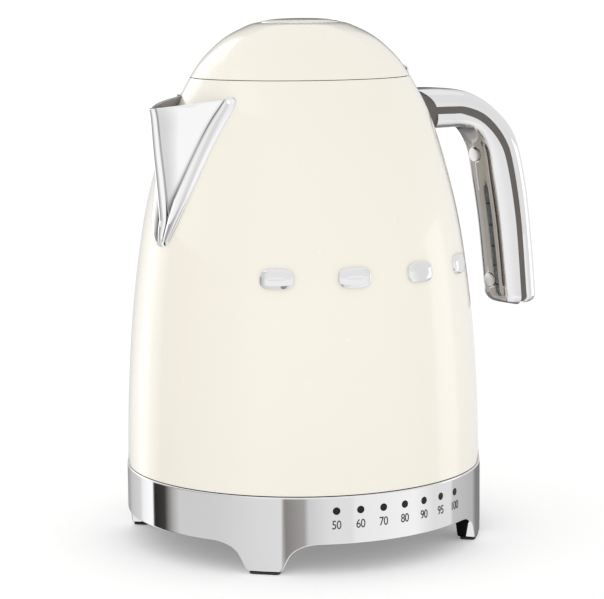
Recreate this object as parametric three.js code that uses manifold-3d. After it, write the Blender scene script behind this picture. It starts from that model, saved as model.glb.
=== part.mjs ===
// An electric kettle with a lift-off jug on a four-footed power base.
// Millimetres, +Z up. The spout points along -X, the handle along +X and the temperature
// panel faces -Y. Every piece is placed from the jug's own upright axis, inside one group
// that is moved along X so that the whole object's box is centred on the origin.
import * as THREE from "three";
import { mergeVertices } from "three/addons/utils/BufferGeometryUtils.js";
import Module from "manifold-3d";

const wasm = await Module();
wasm.setup();

// ---- driving dimensions ----
const gap = 0.3; // between pieces that touch on the real object
const turnSteps = 40; // facets round the large bodies
const hiddenSteps = 28; // facets round the pieces inside
const shellSteps = 12; // facets up the jug's side
const lidSteps = 6; // facets up the dome
const smallSteps = 12; // facets round screws, lenses and buttons
const far = 400; // longer than the object, for cutting tools

const baseRadius = 85.5;
const handleReach = 138.5; // from the jug's axis to the back of the handle
const axisX = (baseRadius - handleReach) / 2; // centres the object's box

const bandTop = 36.1;
const bandWall = 2.6;
const bandBevel = 1.0;
const archTop = 14;
const footPadHeight = 1.2;
const footBottom = footPadHeight + gap;
const footDepth = 8.5; // radial thickness of a foot
const footHalfWidth = 7.4; // along the ground
const footPadHalfWidth = 7.1;
const footPadInner = 77.7; // from the base's axis
const footPadOuter = 84.9;
const footPadCorner = 2.0;
const footAngles = [45, 135, 225, 315];

const screwCircle = 66; // radius on which the base's screws stand
const coverBottom = 13.2;
const coverTop = 15.4;

const glandRadius = 5.5;
const glandHeight = 23;

const shellWall = 1.5;
const shellBottom = 36.5;
const shellTop = 220.7;
const shellOutline = [
  [85.0, shellBottom],
  [84.1, 70],
  [81.3, 110],
  [75.9, 150],
  [68.9, 180],
  [62.5, 200],
  [58.1, 210],
  [52.2, shellTop],
];

const lidBottom = 221.2;
const lidWall = 1.8;
const lidOutline = [
  [52.0, lidBottom],
  [45.6, 230],
  [35.7, 239],
  [24.6, 244.8],
  [18.8, 246.3],
];
const ringOuter = 18.4;
const ringInner = 16.7;
const ringTop = 246.6;
const buttonRadius = 16.3;
const buttonTop = 248;
const buttonCap = 2.2;
const stemRadius = 3.0;

const plugRadius = 44.2;
const plugBottom = 210.5;
const mouthRadius = 46.6;
const mouthTop = 219.9;
const mouthBottom = 208.2;

const hingeX = 55.0;
const hingeZ = 222.5;
const knuckleRadius = 2.1;
const pinRadius = 0.9;
const leafHalfWidth = 4.2;
const bracketHalfWidth = 8.6;

const floorBottom = 55;
const floorThickness = 1.5;
const floorRadius = 82.7;
const heatPlateRadius = 58;
const elementRadius = 40;
const elementTube = 3.3;

const windowHalfWidth = 6;
const windowBottom = 72;
const windowTop = 150;
const bezelWidth = 2.4;

const pourTop = 205; // the hole in the jug's wall behind the spout
const pourBottom = 172;
const pourHalfTop = 15;
const pourHalfBottom = 5;
const meshSlots = 7;
const meshSlotStep = 3.8;
const meshSlotHeight = 1.6;

const spoutWall = 2.0;
const spoutKeelTop = 82.2; // from the axis, at the height of the rim
const spoutKeelBottom = 76.4; // from the axis, at the tip of the flange
const spoutTip = 144.7;
const spoutRimFront = 208.2;
const spoutRimSlope = 9.5; // degrees, rising towards the jug
const spoutHalfAngle = 41; // degrees, between a side wall and the spout's centre plane
const spoutFlange = 2.0;

const handleWidth = 21.5;
const handleEdge = 2.2; // rounding of the handle's long edges
const handleSteps = 12; // facets along each of the handle's long curves
const collarFlare = 2.4; // how far the collar's lip stands off the jug
const neckHalfWidth = 10.4;
const neckBottom = 193.2;
const neckTop = 211.8;
const neckEnd = 72.4; // from the jug's axis

const badgeCount = 4;
const badgeMiddle = -92.1; // degrees from +X
const badgeStep = 25.75; // degrees between studs
const badgeHeight = 134;
const badgeHalfWidth = 7.6;
const badgeHalfHeight = 4.6;
const badgeProud = 2.0;

const panelHeight = 29.5; // height of the row of temperature lights
const panelStep = 7.55; // degrees between lights
const lensRadius = 1.55;
const lensCount = 7;

const keyRadius = 4.8;
const keyStep = 11; // degrees between the base's keys
const keyHeight = 25;
const keyProud = 0.8;

// ---- finishes ----
const finishes = {
  creamPaint: { color: 0xf4f0e4, roughness: 0.22, metalness: 0 },
  chrome: { color: 0xdcdde0, roughness: 0.08, metalness: 1 },
  steel: { color: 0xb9bbbd, roughness: 0.35, metalness: 1 },
  aluminium: { color: 0xa9abad, roughness: 0.5, metalness: 1 },
  greyPlastic: { color: 0x645f5c, roughness: 0.45, metalness: 0 },
  darkPlastic: { color: 0x2a2a2b, roughness: 0.55, metalness: 0 },
  rubber: { color: 0x1b1b1b, roughness: 0.85, metalness: 0 },
  silicone: { color: 0xc9c9c4, roughness: 0.6, metalness: 0 },
  clear: { color: 0xcfd8da, roughness: 0.1, metalness: 0 },
  board: { color: 0x2d5a3a, roughness: 0.6, metalness: 0 },
  brass: { color: 0xc9a655, roughness: 0.35, metalness: 1 },
};

const group = new THREE.Group();
const kettle = new THREE.Group();
kettle.position.x = axisX;
group.add(kettle);

// ---- helpers ----
const radians = (degrees) => (degrees * Math.PI) / 180;

function addPiece(name, geometry, finish) {
  const mesh = new THREE.Mesh(geometry, new THREE.MeshStandardMaterial(finishes[finish]));
  mesh.name = name;
  kettle.add(mesh);
  return mesh;
}

// A closed three.js geometry as a solid that can be joined and cut.
function solid(geometry) {
  const bare = geometry.index ? geometry.clone() : geometry;
  bare.deleteAttribute("normal");
  bare.deleteAttribute("uv");
  const merged = mergeVertices(bare, 1e-4);
  const vertProperties = new Float32Array(merged.attributes.position.array);
  const triVerts = new Uint32Array(merged.index.array);
  return new wasm.Manifold(new wasm.Mesh({ numProp: 3, vertProperties, triVerts }));
}

function fromSolid(body) {
  const mesh = body.getMesh();
  const geometry = new THREE.BufferGeometry();
  geometry.setAttribute("position", new THREE.BufferAttribute(mesh.vertProperties.slice(), 3));
  geometry.setIndex(new THREE.BufferAttribute(mesh.triVerts.slice(), 1));
  geometry.computeVertexNormals();
  return geometry;
}

// A turned piece about the Z axis. The outline is a list of [radius, height] that runs
// anticlockwise in the radius-height plane, so the faces point out.
function turned(outline, steps = turnSteps) {
  const points = outline.map(([radius, height]) => new THREE.Vector2(Math.max(radius, 0), height));
  const onAxis = points[0].x === 0 && points[points.length - 1].x === 0;
  if (!onAxis) points.push(points[0].clone());
  const geometry = new THREE.LatheGeometry(points, steps);
  geometry.rotateX(Math.PI / 2);
  return geometry;
}

const ring = (inner, outer, bottom, top, steps) =>
  turned([[inner, bottom], [outer, bottom], [outer, top], [inner, top]], steps);

const disc = (radius, bottom, top, steps) =>
  turned([[0, bottom], [radius, bottom], [radius, top], [0, top]], steps);

// A box between two corners.
function block([x0, y0, z0], [x1, y1, z1]) {
  const geometry = new THREE.BoxGeometry(x1 - x0, y1 - y0, z1 - z0);
  geometry.translate((x0 + x1) / 2, (y0 + y1) / 2, (z0 + z1) / 2);
  return geometry;
}

// Turns a piece made upright at the origin so that its Z axis points along a direction,
// then moves it to a place.
function aimed(geometry, direction, place) {
  const up = new THREE.Vector3(0, 0, 1);
  const turn = new THREE.Quaternion().setFromUnitVectors(up, direction.clone().normalize());
  geometry.applyQuaternion(turn);
  geometry.translate(place.x, place.y, place.z);
  return geometry;
}

// An outline in the X-Z plane, given as a THREE.Shape, made into a plate centred on Y = 0.
function plateXZ(shape, width, edge = 0) {
  const geometry = new THREE.ExtrudeGeometry(shape, {
    depth: width - 2 * edge,
    bevelEnabled: edge > 0,
    bevelSize: edge,
    bevelThickness: edge,
    bevelOffset: -edge,
    bevelSegments: 3,
    curveSegments: 6,
  });
  geometry.translate(0, 0, -(width - 2 * edge) / 2);
  geometry.rotateX(Math.PI / 2);
  return geometry;
}

// An outline in the Y-Z plane extruded along X between two places.
function plateYZ(shape, x0, x1) {
  const settings = { depth: x1 - x0, bevelEnabled: false, curveSegments: 4 };
  const geometry = new THREE.ExtrudeGeometry(shape, settings);
  const axes = new THREE.Matrix4().makeBasis(
    new THREE.Vector3(0, 1, 0), new THREE.Vector3(0, 0, 1), new THREE.Vector3(1, 0, 0));
  geometry.applyMatrix4(axes);
  geometry.translate(x0, 0, 0);
  return geometry;
}

function roundedRectangle(halfWidth, bottom, top, radius) {
  const shape = new THREE.Shape();
  shape.moveTo(-halfWidth + radius, bottom);
  shape.lineTo(halfWidth - radius, bottom);
  shape.absarc(halfWidth - radius, bottom + radius, radius, -Math.PI / 2, 0);
  shape.lineTo(halfWidth, top - radius);
  shape.absarc(halfWidth - radius, top - radius, radius, 0, Math.PI / 2);
  shape.lineTo(-halfWidth + radius, top);
  shape.absarc(-halfWidth + radius, top - radius, radius, Math.PI / 2, Math.PI);
  shape.lineTo(-halfWidth, bottom + radius);
  shape.absarc(-halfWidth + radius, bottom + radius, radius, Math.PI, 1.5 * Math.PI);
  return shape;
}

const smooth = (knots, count) =>
  new THREE.SplineCurve(knots.map(([x, y]) => new THREE.Vector2(x, y))).getSpacedPoints(count);

// Points of a smooth outline through its knots, moved outwards by a distance.
function outline(knots, count, offset = 0) {
  const curve = new THREE.SplineCurve(knots.map(([x, y]) => new THREE.Vector2(x, y)));
  const points = [];
  for (let i = 0; i <= count; i += 1) {
    const point = curve.getPointAt(i / count);
    const tangent = curve.getTangentAt(i / count);
    points.push([point.x + tangent.y * offset, point.y - tangent.x * offset]);
  }
  return points;
}

// The jug's outer form as a filled solid, grown by an offset and reaching past both ends.
function jugForm(offset) {
  const side = outline(shellOutline, shellSteps, offset);
  const first = side[0];
  const last = side[side.length - 1];
  return solid(turned([[0, first[1] - 1], [first[0], first[1] - 1], ...side,
    [last[0] - 1.2, last[1] + 2.4], [0, last[1] + 2.4]]));
}

function lidForm(offset) {
  const side = outline(lidOutline, lidSteps, offset);
  const first = side[0];
  const last = side[side.length - 1];
  return solid(turned([[0, first[1] - 1], [first[0] + 0.6, first[1] - 1], ...side,
    [0, last[1] + 1]]));
}

// A skin that hugs a form between two offsets.
const skin = (form, inner, outer) => form(outer).subtract(form(inner));

// ---- base ----
// The opening between two feet: flat top, wide rounded shoulders and steep sides.
function archShape() {
  const centre = baseRadius * Math.sin(radians(45));
  const foot = footHalfWidth / Math.cos(radians(45));
  const side = centre - foot;
  const shape = new THREE.Shape();
  shape.moveTo(-side - 1, -1);
  shape.lineTo(side + 1, -1);
  shape.lineTo(side + 1, footBottom);
  shape.quadraticCurveTo(side - 1.6, footBottom, side - 2.4, 4.5);
  shape.lineTo(side - 4.0, 7.2);
  shape.quadraticCurveTo(side - 7.6, archTop, side - 17, archTop);
  shape.lineTo(-side + 17, archTop);
  shape.quadraticCurveTo(-side + 7.6, archTop, -side + 4.0, 7.2);
  shape.lineTo(-side + 2.4, 4.5);
  shape.quadraticCurveTo(-side + 1.6, footBottom, -side - 1, footBottom);
  return shape;
}

function baseBand() {
  const inner = baseRadius - bandWall;
  const wall = solid(turned([[inner, footBottom], [baseRadius, footBottom],
    [baseRadius, bandTop - bandBevel], [baseRadius - bandBevel, bandTop], [inner, bandTop]]));
  const legs = solid(ring(baseRadius - footDepth, inner + 0.5, footBottom, archTop + 1.6));
  const arch = solid(plateYZ(archShape(), -far, far));
  let band = wall.add(legs).subtract(arch).subtract(arch.rotate([0, 0, 90]));
  for (const lens of lensPlaces()) {
    const hole = disc(lensRadius + gap, -6, 3, smallSteps);
    band = band.subtract(solid(aimed(hole, lens.out, lens.place)));
  }
  for (const key of keyPlaces()) {
    const hole = disc(keyRadius + gap, -6, 3, smallSteps);
    band = band.subtract(solid(aimed(hole, key.out, key.place)));
  }
  const cordHole = disc(glandRadius + gap, -7, 3, smallSteps);
  band = band.subtract(solid(aimed(cordHole, new THREE.Vector3(0, 1, 0), glandPlace())));
  return band;
}

const glandPlace = () => new THREE.Vector3(0, baseRadius, glandHeight);

// A place on the band's outer face and the direction out of it, at an angle from +X.
function bandPlace(angle, height) {
  const out = new THREE.Vector3(Math.cos(radians(angle)), Math.sin(radians(angle)), 0);
  return { out, place: out.clone().multiplyScalar(baseRadius).setZ(height) };
}

function lensPlaces() {
  const places = [];
  for (let i = 0; i < lensCount; i += 1) {
    places.push(bandPlace(-90 + (i - (lensCount - 1) / 2) * panelStep, panelHeight));
  }
  return places;
}

const keyPlaces = () => [keyStep, 0, -keyStep].map((angle) => bandPlace(angle, keyHeight));

function buildBase() {
  addPiece("base_band", fromSolid(baseBand()), "chrome");

  const plateTop = 34;
  const plateBottom = 31.5;
  const plateRadius = baseRadius - bandWall - gap;
  addPiece("base_top_plate", turned([[18, plateBottom], [plateRadius, plateBottom],
    [plateRadius, plateTop + 0.8], [plateRadius - 2, plateTop + 0.8], [plateRadius - 3, plateTop],
    [24, plateTop], [22, plateTop - 0.8], [18, plateTop - 0.8]], 32), "greyPlastic");

  addPiece("base_connector", turned([[0, 28], [22, 28], [22, 31.1], [17.4, 31.1], [17.4, 40.4],
    [16.8, 41], [14.8, 41], [14.2, 40.4], [14.2, 33], [5.5, 33], [5.5, 41.4], [4.9, 42], [0, 42]],
  24), "darkPlastic");

  const coverRadius = baseRadius - footDepth - gap;
  let cover = solid(disc(coverRadius, coverBottom, coverTop, hiddenSteps));
  for (const [index, angle] of footAngles.entries()) {
    const x = screwCircle * Math.cos(radians(angle));
    const y = screwCircle * Math.sin(radians(angle));
    const well = turned([[0, coverBottom - 1], [4.1, coverBottom - 1], [4.1, 14.4], [1.9, 14.4],
      [1.9, coverTop + 1], [0, coverTop + 1]], smallSteps);
    well.translate(x, y, 0);
    cover = cover.subtract(solid(well));
    const screw = turned([[0, 12.4], [3.2, 12.6], [3.8, 13.4], [3.8, 14.1], [1.6, 14.1], [1.6, 22],
      [0, 22.8]], smallSteps);
    screw.translate(x, y, 0);
    addPiece(`base_screw_${index + 1}`, screw, "steel");
  }
  addPiece("base_bottom_cover", fromSolid(cover), "darkPlastic");

  const padShape = roundedRectangle(footPadHalfWidth, footPadInner, footPadOuter, footPadCorner);
  const padSettings = { depth: footPadHeight, bevelEnabled: false, curveSegments: 3 };
  for (const [index, angle] of footAngles.entries()) {
    const pad = new THREE.ExtrudeGeometry(padShape, padSettings);
    pad.rotateZ(radians(angle - 90));
    addPiece(`foot_pad_${index + 1}`, pad, "rubber");
  }

  for (const [index, lens] of lensPlaces().entries()) {
    const body = disc(lensRadius, -5.6, -0.05, smallSteps);
    addPiece(`light_lens_${index + 1}`, aimed(body, lens.out, lens.place), "darkPlastic");
  }
  addPiece("light_board", block([-34, -73, 21.4], [34, -50, 23]), "board");

  const keyNames = ["start_key", "temperature_key", "keep_warm_key"];
  for (const [index, key] of keyPlaces().entries()) {
    const body = turned([[0, -6], [keyRadius + 1.4, -6], [keyRadius + 1.4, -4.6], [keyRadius, -4.6],
      [keyRadius, keyProud - 0.5], [keyRadius - 0.5, keyProud], [0, keyProud]], smallSteps);
    addPiece(keyNames[index], aimed(body, key.out, key.place), "chrome");
  }
  addPiece("key_board", block([70.5, -24, 17.5], [72.1, 24, 30.5]), "board");

  const gland = turned([[0, -6.6], [glandRadius, -6.6], [glandRadius, -0.1], [3.5, -0.1], [3.5, -4.4],
    [0, -4.4]], smallSteps);
  addPiece("cord_gland", aimed(gland, new THREE.Vector3(0, 1, 0), glandPlace()), "darkPlastic");
}

// ---- jug ----
// The spout seen from the front: a V with a round tip and a nearly straight top.
function spoutFront(inset) {
  const half = (height) => 4.4 + (height - 147) * 0.372 - inset;
  const top = 214;
  const turnHeight = 204;
  const tipHeight = spoutTip + inset;
  const shape = new THREE.Shape();
  shape.moveTo(half(turnHeight), turnHeight);
  shape.quadraticCurveTo(26.3 - inset, 209, 26.3 - inset, top);
  shape.lineTo(-26.3 + inset, top);
  shape.quadraticCurveTo(-26.3 + inset, 209, -half(turnHeight), turnHeight);
  shape.lineTo(-half(149 + inset), 149 + inset);
  shape.quadraticCurveTo(-3.2, tipHeight, 0, tipHeight);
  shape.quadraticCurveTo(3.2, tipHeight, half(149 + inset), 149 + inset);
  return shape;
}

// The beak is a wedge seen from above, leaning so that its keel follows its own slope.
function spoutWedge(inset) {
  const angle = radians(spoutHalfAngle);
  const nose = 3.2 - inset * 0.6;
  const keel = spoutKeelTop - inset;
  const back = 34;
  const noseX = keel - nose;
  const touchX = noseX + nose * Math.sin(angle);
  const touchY = nose * Math.cos(angle);
  const reach = touchX - back;
  const shape = new THREE.Shape();
  shape.moveTo(-back, -(touchY + reach * Math.tan(angle)));
  shape.lineTo(-back, touchY + reach * Math.tan(angle));
  shape.lineTo(-touchX, touchY);
  shape.quadraticCurveTo(-keel - 0.2, touchY * 0.6, -keel, 0);
  shape.quadraticCurveTo(-keel - 0.2, -touchY * 0.6, -touchX, -touchY);
  const bottom = spoutTip + 2;
  const top = 216;
  const settings = { depth: top - bottom, bevelEnabled: false, curveSegments: 4 };
  const wedge = new THREE.ExtrudeGeometry(shape, settings);
  wedge.translate(0, 0, bottom);
  const lean = (spoutKeelTop - spoutKeelBottom) / (spoutRimFront - spoutTip);
  const shear = new THREE.Matrix4().set(
    1, 0, -lean, lean * spoutRimFront,
    0, 1, 0, 0,
    0, 0, 1, 0,
    0, 0, 0, 1);
  wedge.applyMatrix4(shear);
  return solid(wedge);
}

function spout() {
  const flange = skin(jugForm, gap, spoutFlange + gap).intersect(solid(plateYZ(spoutFront(0), -far, -20)));
  const front = solid(plateYZ(spoutFront(0.4), -far, -20));
  const beak = spoutWedge(0).intersect(front).subtract(jugForm(gap));
  const rim = block([-far, -far, 0], [far, far, far]);
  rim.rotateY(radians(-spoutRimSlope));
  rim.translate(-spoutKeelTop, 0, spoutRimFront);
  return flange.add(beak).subtract(spoutWedge(spoutWall)).subtract(solid(rim));
}

// The V-shaped hole in the jug wall behind the spout, and the filter that covers it.
function pourShape(inset) {
  const shape = new THREE.Shape();
  shape.moveTo(-pourHalfTop + inset, pourTop - inset);
  shape.lineTo(-pourHalfBottom + inset, pourBottom + inset);
  shape.lineTo(pourHalfBottom - inset, pourBottom + inset);
  shape.lineTo(pourHalfTop - inset, pourTop - inset);
  return shape;
}

// The window's outline grown by a distance, as a tool that reaches out of the jug's back.
const windowTool = (grow, corner) => solid(plateYZ(
  roundedRectangle(windowHalfWidth + grow, windowBottom - grow, windowTop + grow, corner), 20, far));

function bodyShell() {
  const outside = outline(shellOutline, shellSteps);
  const inside = outline(shellOutline, shellSteps, -shellWall).reverse();
  const wall = solid(turned([...outside, ...inside]));
  return wall.subtract(solid(plateYZ(pourShape(0), -far, -20))).subtract(windowTool(0, 4));
}

function buildVessel() {
  addPiece("body_shell", fromSolid(bodyShell()), "creamPaint");

  const collarBlank = solid(ring(mouthRadius, 70, mouthBottom, mouthTop, 40));
  const collar = collarBlank.intersect(jugForm(-shellWall - gap));
  addPiece("mouth_collar", fromSolid(collar), "steel");

  const floorTop = floorBottom + floorThickness;
  const sensorX = 68;
  let floor = solid(turned([[0, floorBottom], [floorRadius, floorBottom], [floorRadius, floorTop + 3],
    [floorRadius - 1.2, floorTop + 3], [floorRadius - 1.8, floorTop], [0, floorTop]], hiddenSteps));
  const sensorHole = disc(3 + gap, floorBottom - 2, floorTop + 2, smallSteps);
  sensorHole.translate(0, sensorX, 0);
  floor = floor.subtract(solid(sensorHole));
  addPiece("vessel_floor", fromSolid(floor), "steel");

  const sensor = turned([[0, 50], [5.5, 50], [5.5, 54.6], [3, 54.6], [3, 59.5], [2, 60.8], [0, 61.3]],
    smallSteps);
  sensor.translate(0, sensorX, 0);
  addPiece("temperature_sensor", sensor, "steel");

  addPiece("heat_plate", disc(heatPlateRadius, 50.9, floorBottom - gap, hiddenSteps), "aluminium");
  addPiece("heating_element", heatingElement(), "steel");

  addPiece("jug_bottom_cover", turned([[21, 37], [82.6, 37], [83, 37.6], [83, 41], [80, 41],
    [79, 39.2], [21, 39.2]], hiddenSteps), "darkPlastic");
  addPiece("connector_socket", turned([[0, 44], [7, 44], [7, 37], [13.5, 37], [13.5, 44], [18.2, 44],
    [18.2, 36.2], [20.6, 36.2], [20.6, 46.4], [0, 46.4]], 24), "darkPlastic");

  const window = skin(jugForm, -shellWall, 0).intersect(windowTool(-gap, 3.7));
  addPiece("water_window", fromSolid(window), "clear");
  const bezel = skin(jugForm, gap, 1.3).intersect(windowTool(bezelWidth, 6)).subtract(windowTool(0, 4));
  addPiece("window_bezel", fromSolid(bezel), "chrome");
}

// A sheathed element bent round under the heat plate, open at the front.
function heatingElement() {
  const z = 50.9 - gap - elementTube;
  const points = [];
  const steps = 24;
  for (let i = 0; i <= steps; i += 1) {
    const angle = radians(205 + (310 * i) / steps);
    points.push(new THREE.Vector3(elementRadius * Math.cos(angle), elementRadius * Math.sin(angle), z));
  }
  const section = new THREE.Shape();
  section.absarc(0, 0, elementTube, 0, 2 * Math.PI);
  return new THREE.ExtrudeGeometry(section, {
    steps, curveSegments: 4, extrudePath: new THREE.CatmullRomCurve3(points), bevelEnabled: false });
}

function buildSpout() {
  addPiece("spout", fromSolid(spout()), "chrome");
  const seat = (inset) => solid(plateYZ(pourShape(inset), -far, -20));
  const innerFace = -shellWall - gap;
  const frame = skin(jugForm, innerFace - 2.4, innerFace).intersect(seat(-2.6)).subtract(seat(0.6));
  addPiece("filter_frame", fromSolid(frame), "greyPlastic");
  let screen = skin(jugForm, innerFace - 1.6, innerFace - 0.8).intersect(seat(0.9));
  for (let i = 0; i < meshSlots; i += 1) {
    const height = pourBottom + 4 + i * meshSlotStep;
    const half = 1.8 + (height - pourBottom) * 0.29;
    screen = screen.subtract(solid(block([-far, -half, height], [-20, half, height + meshSlotHeight])));
  }
  addPiece("filter_mesh", fromSolid(screen), "steel");
}

// ---- handle ----
// Knots of the handle's four long curves in the X-Z plane, from the jug outwards and down.
const backCurve = [
  [72.7, 212.5], [95.3, 210], [110.8, 202.2], [124, 188.6], [131, 165], [135.5, 133],
  [138.4, 110]];
const stripOuterCurve = [
  [72.7, 203.5], [91.6, 202.3], [103.4, 197.5], [114.4, 186.4], [119.9, 173], [125.3, 144.4],
  [129.2, 111]];
const stripInnerCurve = [
  [73.4, 200.3], [90.6, 199.4], [101.6, 194.8], [111.6, 184.9], [116.9, 172.2], [122.3, 144.2],
  [126.2, 111]];
const palmCurve = [
  [73.4, 192.7], [91, 192.5], [98.4, 190.1], [103, 180.5], [105.5, 165], [109.6, 141], [113.4, 112]];
const outerTail = [[138.5, 105.2], [137.2, 102.2], [134.2, 100], [130.4, 99.2]];
const coreTail = [[129.0, 104.6], [127.4, 100.6], [126.1, 100.9]];
const innerTail = [
  [125.6, 104], [124.7, 100.1], [121.1, 99.9], [115.9, 101.7], [112.6, 104.4], [111.2, 107.6]];

function betweenCurves(inner, outer, endPoints) {
  const shape = new THREE.Shape();
  const up = smooth(outer, handleSteps);
  const down = smooth(inner, handleSteps).reverse();
  shape.moveTo(up[0].x, up[0].y);
  for (const point of up.slice(1)) shape.lineTo(point.x, point.y);
  for (const [x, y] of endPoints) shape.lineTo(x, y);
  for (const point of down) shape.lineTo(point.x, point.y);
  return shape;
}

const shiftCurve = (curve, dx, dz) => curve.map(([x, z]) => [x + dx, z + dz]);

// Screw places on the palm side: position in the X-Z plane, and the way into the handle.
const palmScrews = [[103.0, 177.9], [113.1, 113.7]];
const screwDirection = new THREE.Vector3(64.2, 0, 10.1).normalize();

function buildHandle() {
  const well = () => turned([[0, -3], [4.0, -3], [4.0, 5.2], [2.0, 5.2], [2.0, 19.5], [0, 19.5]],
    smallSteps);
  const wells = palmScrews.map(([x, z]) => solid(aimed(well(), screwDirection, new THREE.Vector3(x, 0, z))));
  const cutWells = (body) => wells.reduce((rest, tool) => rest.subtract(tool), body);

  const outerShape = betweenCurves(stripOuterCurve, backCurve, outerTail);
  const outer = solid(plateXZ(outerShape, handleWidth, handleEdge));
  addPiece("handle_outer_shell", fromSolid(cutWells(outer)), "chrome");

  const coreShape = betweenCurves(
    shiftCurve(stripInnerCurve, 0.2, 0.2), shiftCurve(stripOuterCurve, -0.2, -0.2), coreTail);
  const core = solid(plateXZ(coreShape, handleWidth - 1.2));
  addPiece("handle_core", fromSolid(cutWells(core)), "greyPlastic");

  const innerShape = betweenCurves(palmCurve, stripInnerCurve, innerTail);
  const inner = solid(plateXZ(innerShape, handleWidth, handleEdge));
  addPiece("handle_inner_shell", fromSolid(cutWells(inner)), "chrome");

  const labels = ["top", "bottom"];
  for (const [index, [x, z]] of palmScrews.entries()) {
    const place = new THREE.Vector3(x, 0, z);
    const cap = turned([[0, -0.3], [3.2, -0.3], [3.7, 0.1], [3.7, 1.8], [0, 1.8]], smallSteps);
    addPiece(`screw_cap_${labels[index]}`, aimed(cap, screwDirection, place), "chrome");
    const screw = turned([[0, 2.2], [3.4, 2.2], [3.4, 4.8], [1.6, 4.8], [1.6, 18.6], [0, 19.2]],
      smallSteps);
    addPiece(`handle_screw_${labels[index]}`, aimed(screw, screwDirection, place), "steel");
  }

  const neck = solid(plateYZ(roundedRectangle(neckHalfWidth, neckBottom, neckTop, 6), 40, neckEnd));
  const foot = solid(plateYZ(roundedRectangle(handleWidth / 2 + 2.2, 190.6, 212.6, 7), 40, far));
  const flare = skin(jugForm, gap, collarFlare).intersect(foot);
  const collar = neck.subtract(jugForm(gap)).add(flare);
  addPiece("handle_collar", fromSolid(collar), "greyPlastic");
}

// ---- badge ----
// Four plain low lozenges in a row on the panel side.
function buildBadge() {
  const low = badgeHeight - badgeHalfHeight;
  const high = badgeHeight + badgeHalfHeight;
  const shape = roundedRectangle(badgeHalfWidth, low, high, badgeHalfHeight - 0.1);
  const wrap = skin(jugForm, gap, badgeProud);
  for (let i = 0; i < badgeCount; i += 1) {
    const tool = plateYZ(shape, 20, far);
    tool.rotateZ(radians(badgeMiddle + (i - (badgeCount - 1) / 2) * badgeStep));
    addPiece(`badge_stud_${i + 1}`, fromSolid(wrap.intersect(solid(tool))), "chrome");
  }
}

// ---- lid ----
const yAxis = new THREE.Vector3(0, 1, 0);
const hingePlace = new THREE.Vector3(hingeX, 0, hingeZ);
const alongHinge = (radius, from, to) => solid(aimed(disc(radius, from, to, smallSteps), yAxis, hingePlace));

function buildHinge() {
  const outer = bracketHalfWidth;
  const inner = leafHalfWidth + 0.4;
  const plate = skin(jugForm, gap, 1.8).intersect(solid(block([40, -outer, 213.2], [70, outer, 219.6])));
  const ear = (from, to) => alongHinge(knuckleRadius, from, to).add(
    solid(block([hingeX - 1.9, from, 216.5], [hingeX + knuckleRadius, to, hingeZ])));
  const bracket = plate.add(ear(inner, outer)).add(ear(-outer, -inner)).subtract(jugForm(gap))
    .subtract(alongHinge(pinRadius + gap, -20, 20));
  addPiece("hinge_bracket", fromSolid(bracket), "chrome");

  const pin = aimed(disc(pinRadius, -outer, outer, smallSteps), yAxis, hingePlace);
  addPiece("hinge_pin", pin, "steel");

  const strap = skin(lidForm, gap, 1.7).intersect(
    solid(block([30, -leafHalfWidth, hingeZ - 0.6], [60, leafHalfWidth, 232])));
  const link = solid(block([hingeX - 5, -leafHalfWidth, hingeZ - 0.4],
    [hingeX, leafHalfWidth, hingeZ + knuckleRadius]));
  const leaf = alongHinge(knuckleRadius, -leafHalfWidth, leafHalfWidth).add(link).add(strap)
    .subtract(lidForm(gap)).subtract(alongHinge(pinRadius + gap, -20, 20));
  addPiece("lid_hinge_leaf", fromSolid(leaf), "chrome");
}

function buildLid() {
  const dome = solid(turned([...outline(lidOutline, lidSteps),
    ...outline(lidOutline, lidSteps, -lidWall).reverse()]));
  const hole = solid(disc(ringOuter + gap, 240, 250));
  addPiece("lid_shell", fromSolid(dome.subtract(hole)), "creamPaint");
  addPiece("lid_ring", turned([[ringInner, 243.4], [ringOuter, 243.4], [ringOuter, ringTop - 0.4],
    [ringOuter - 0.5, ringTop], [ringInner, ringTop]], 40), "chrome");

  const sleeveInner = stemRadius + 0.5;
  const sleeveTop = 238;
  const slot = block([-50, -4.5, 213.5], [-35, 4.5, 217.5]);
  const linerFloor = plugBottom + 1.6;
  const liner = solid(turned([
    [0, plugBottom], [plugRadius - 1.2, plugBottom], [plugRadius, plugBottom + 1.2],
    [plugRadius, 222.2], [47.0, 222.2], [46.2, 223.8], [plugRadius - 1.6, 223.8],
    [plugRadius - 1.6, linerFloor], [5.4, linerFloor], [5.4, sleeveTop], [sleeveInner, sleeveTop],
    [sleeveInner, linerFloor], [0, linerFloor]], hiddenSteps));
  addPiece("lid_liner", fromSolid(liner.subtract(solid(slot))), "darkPlastic");
  addPiece("lid_gasket", ring(plugRadius + gap, plugRadius + 1.4, 217.8, 219.6, hiddenSteps), "silicone");

  const capBottom = buttonTop - buttonCap;
  addPiece("lid_button", turned([
    [0, 215], [stemRadius, 215], [stemRadius, capBottom], [buttonRadius, capBottom],
    [buttonRadius, buttonTop - 1.0], [buttonRadius - 1.0, buttonTop - 0.3],
    [buttonRadius * 0.6, buttonTop], [0, buttonTop]], 32), "creamPaint");
  addPiece("lid_button_spring", coil(4.9, 0.5, sleeveTop + 0.9, capBottom - 0.9, 4), "steel");
  addPiece("lid_latch", block([-45.0, -4, 214], [-8.2, 4, 217]), "greyPlastic");
}

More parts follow.
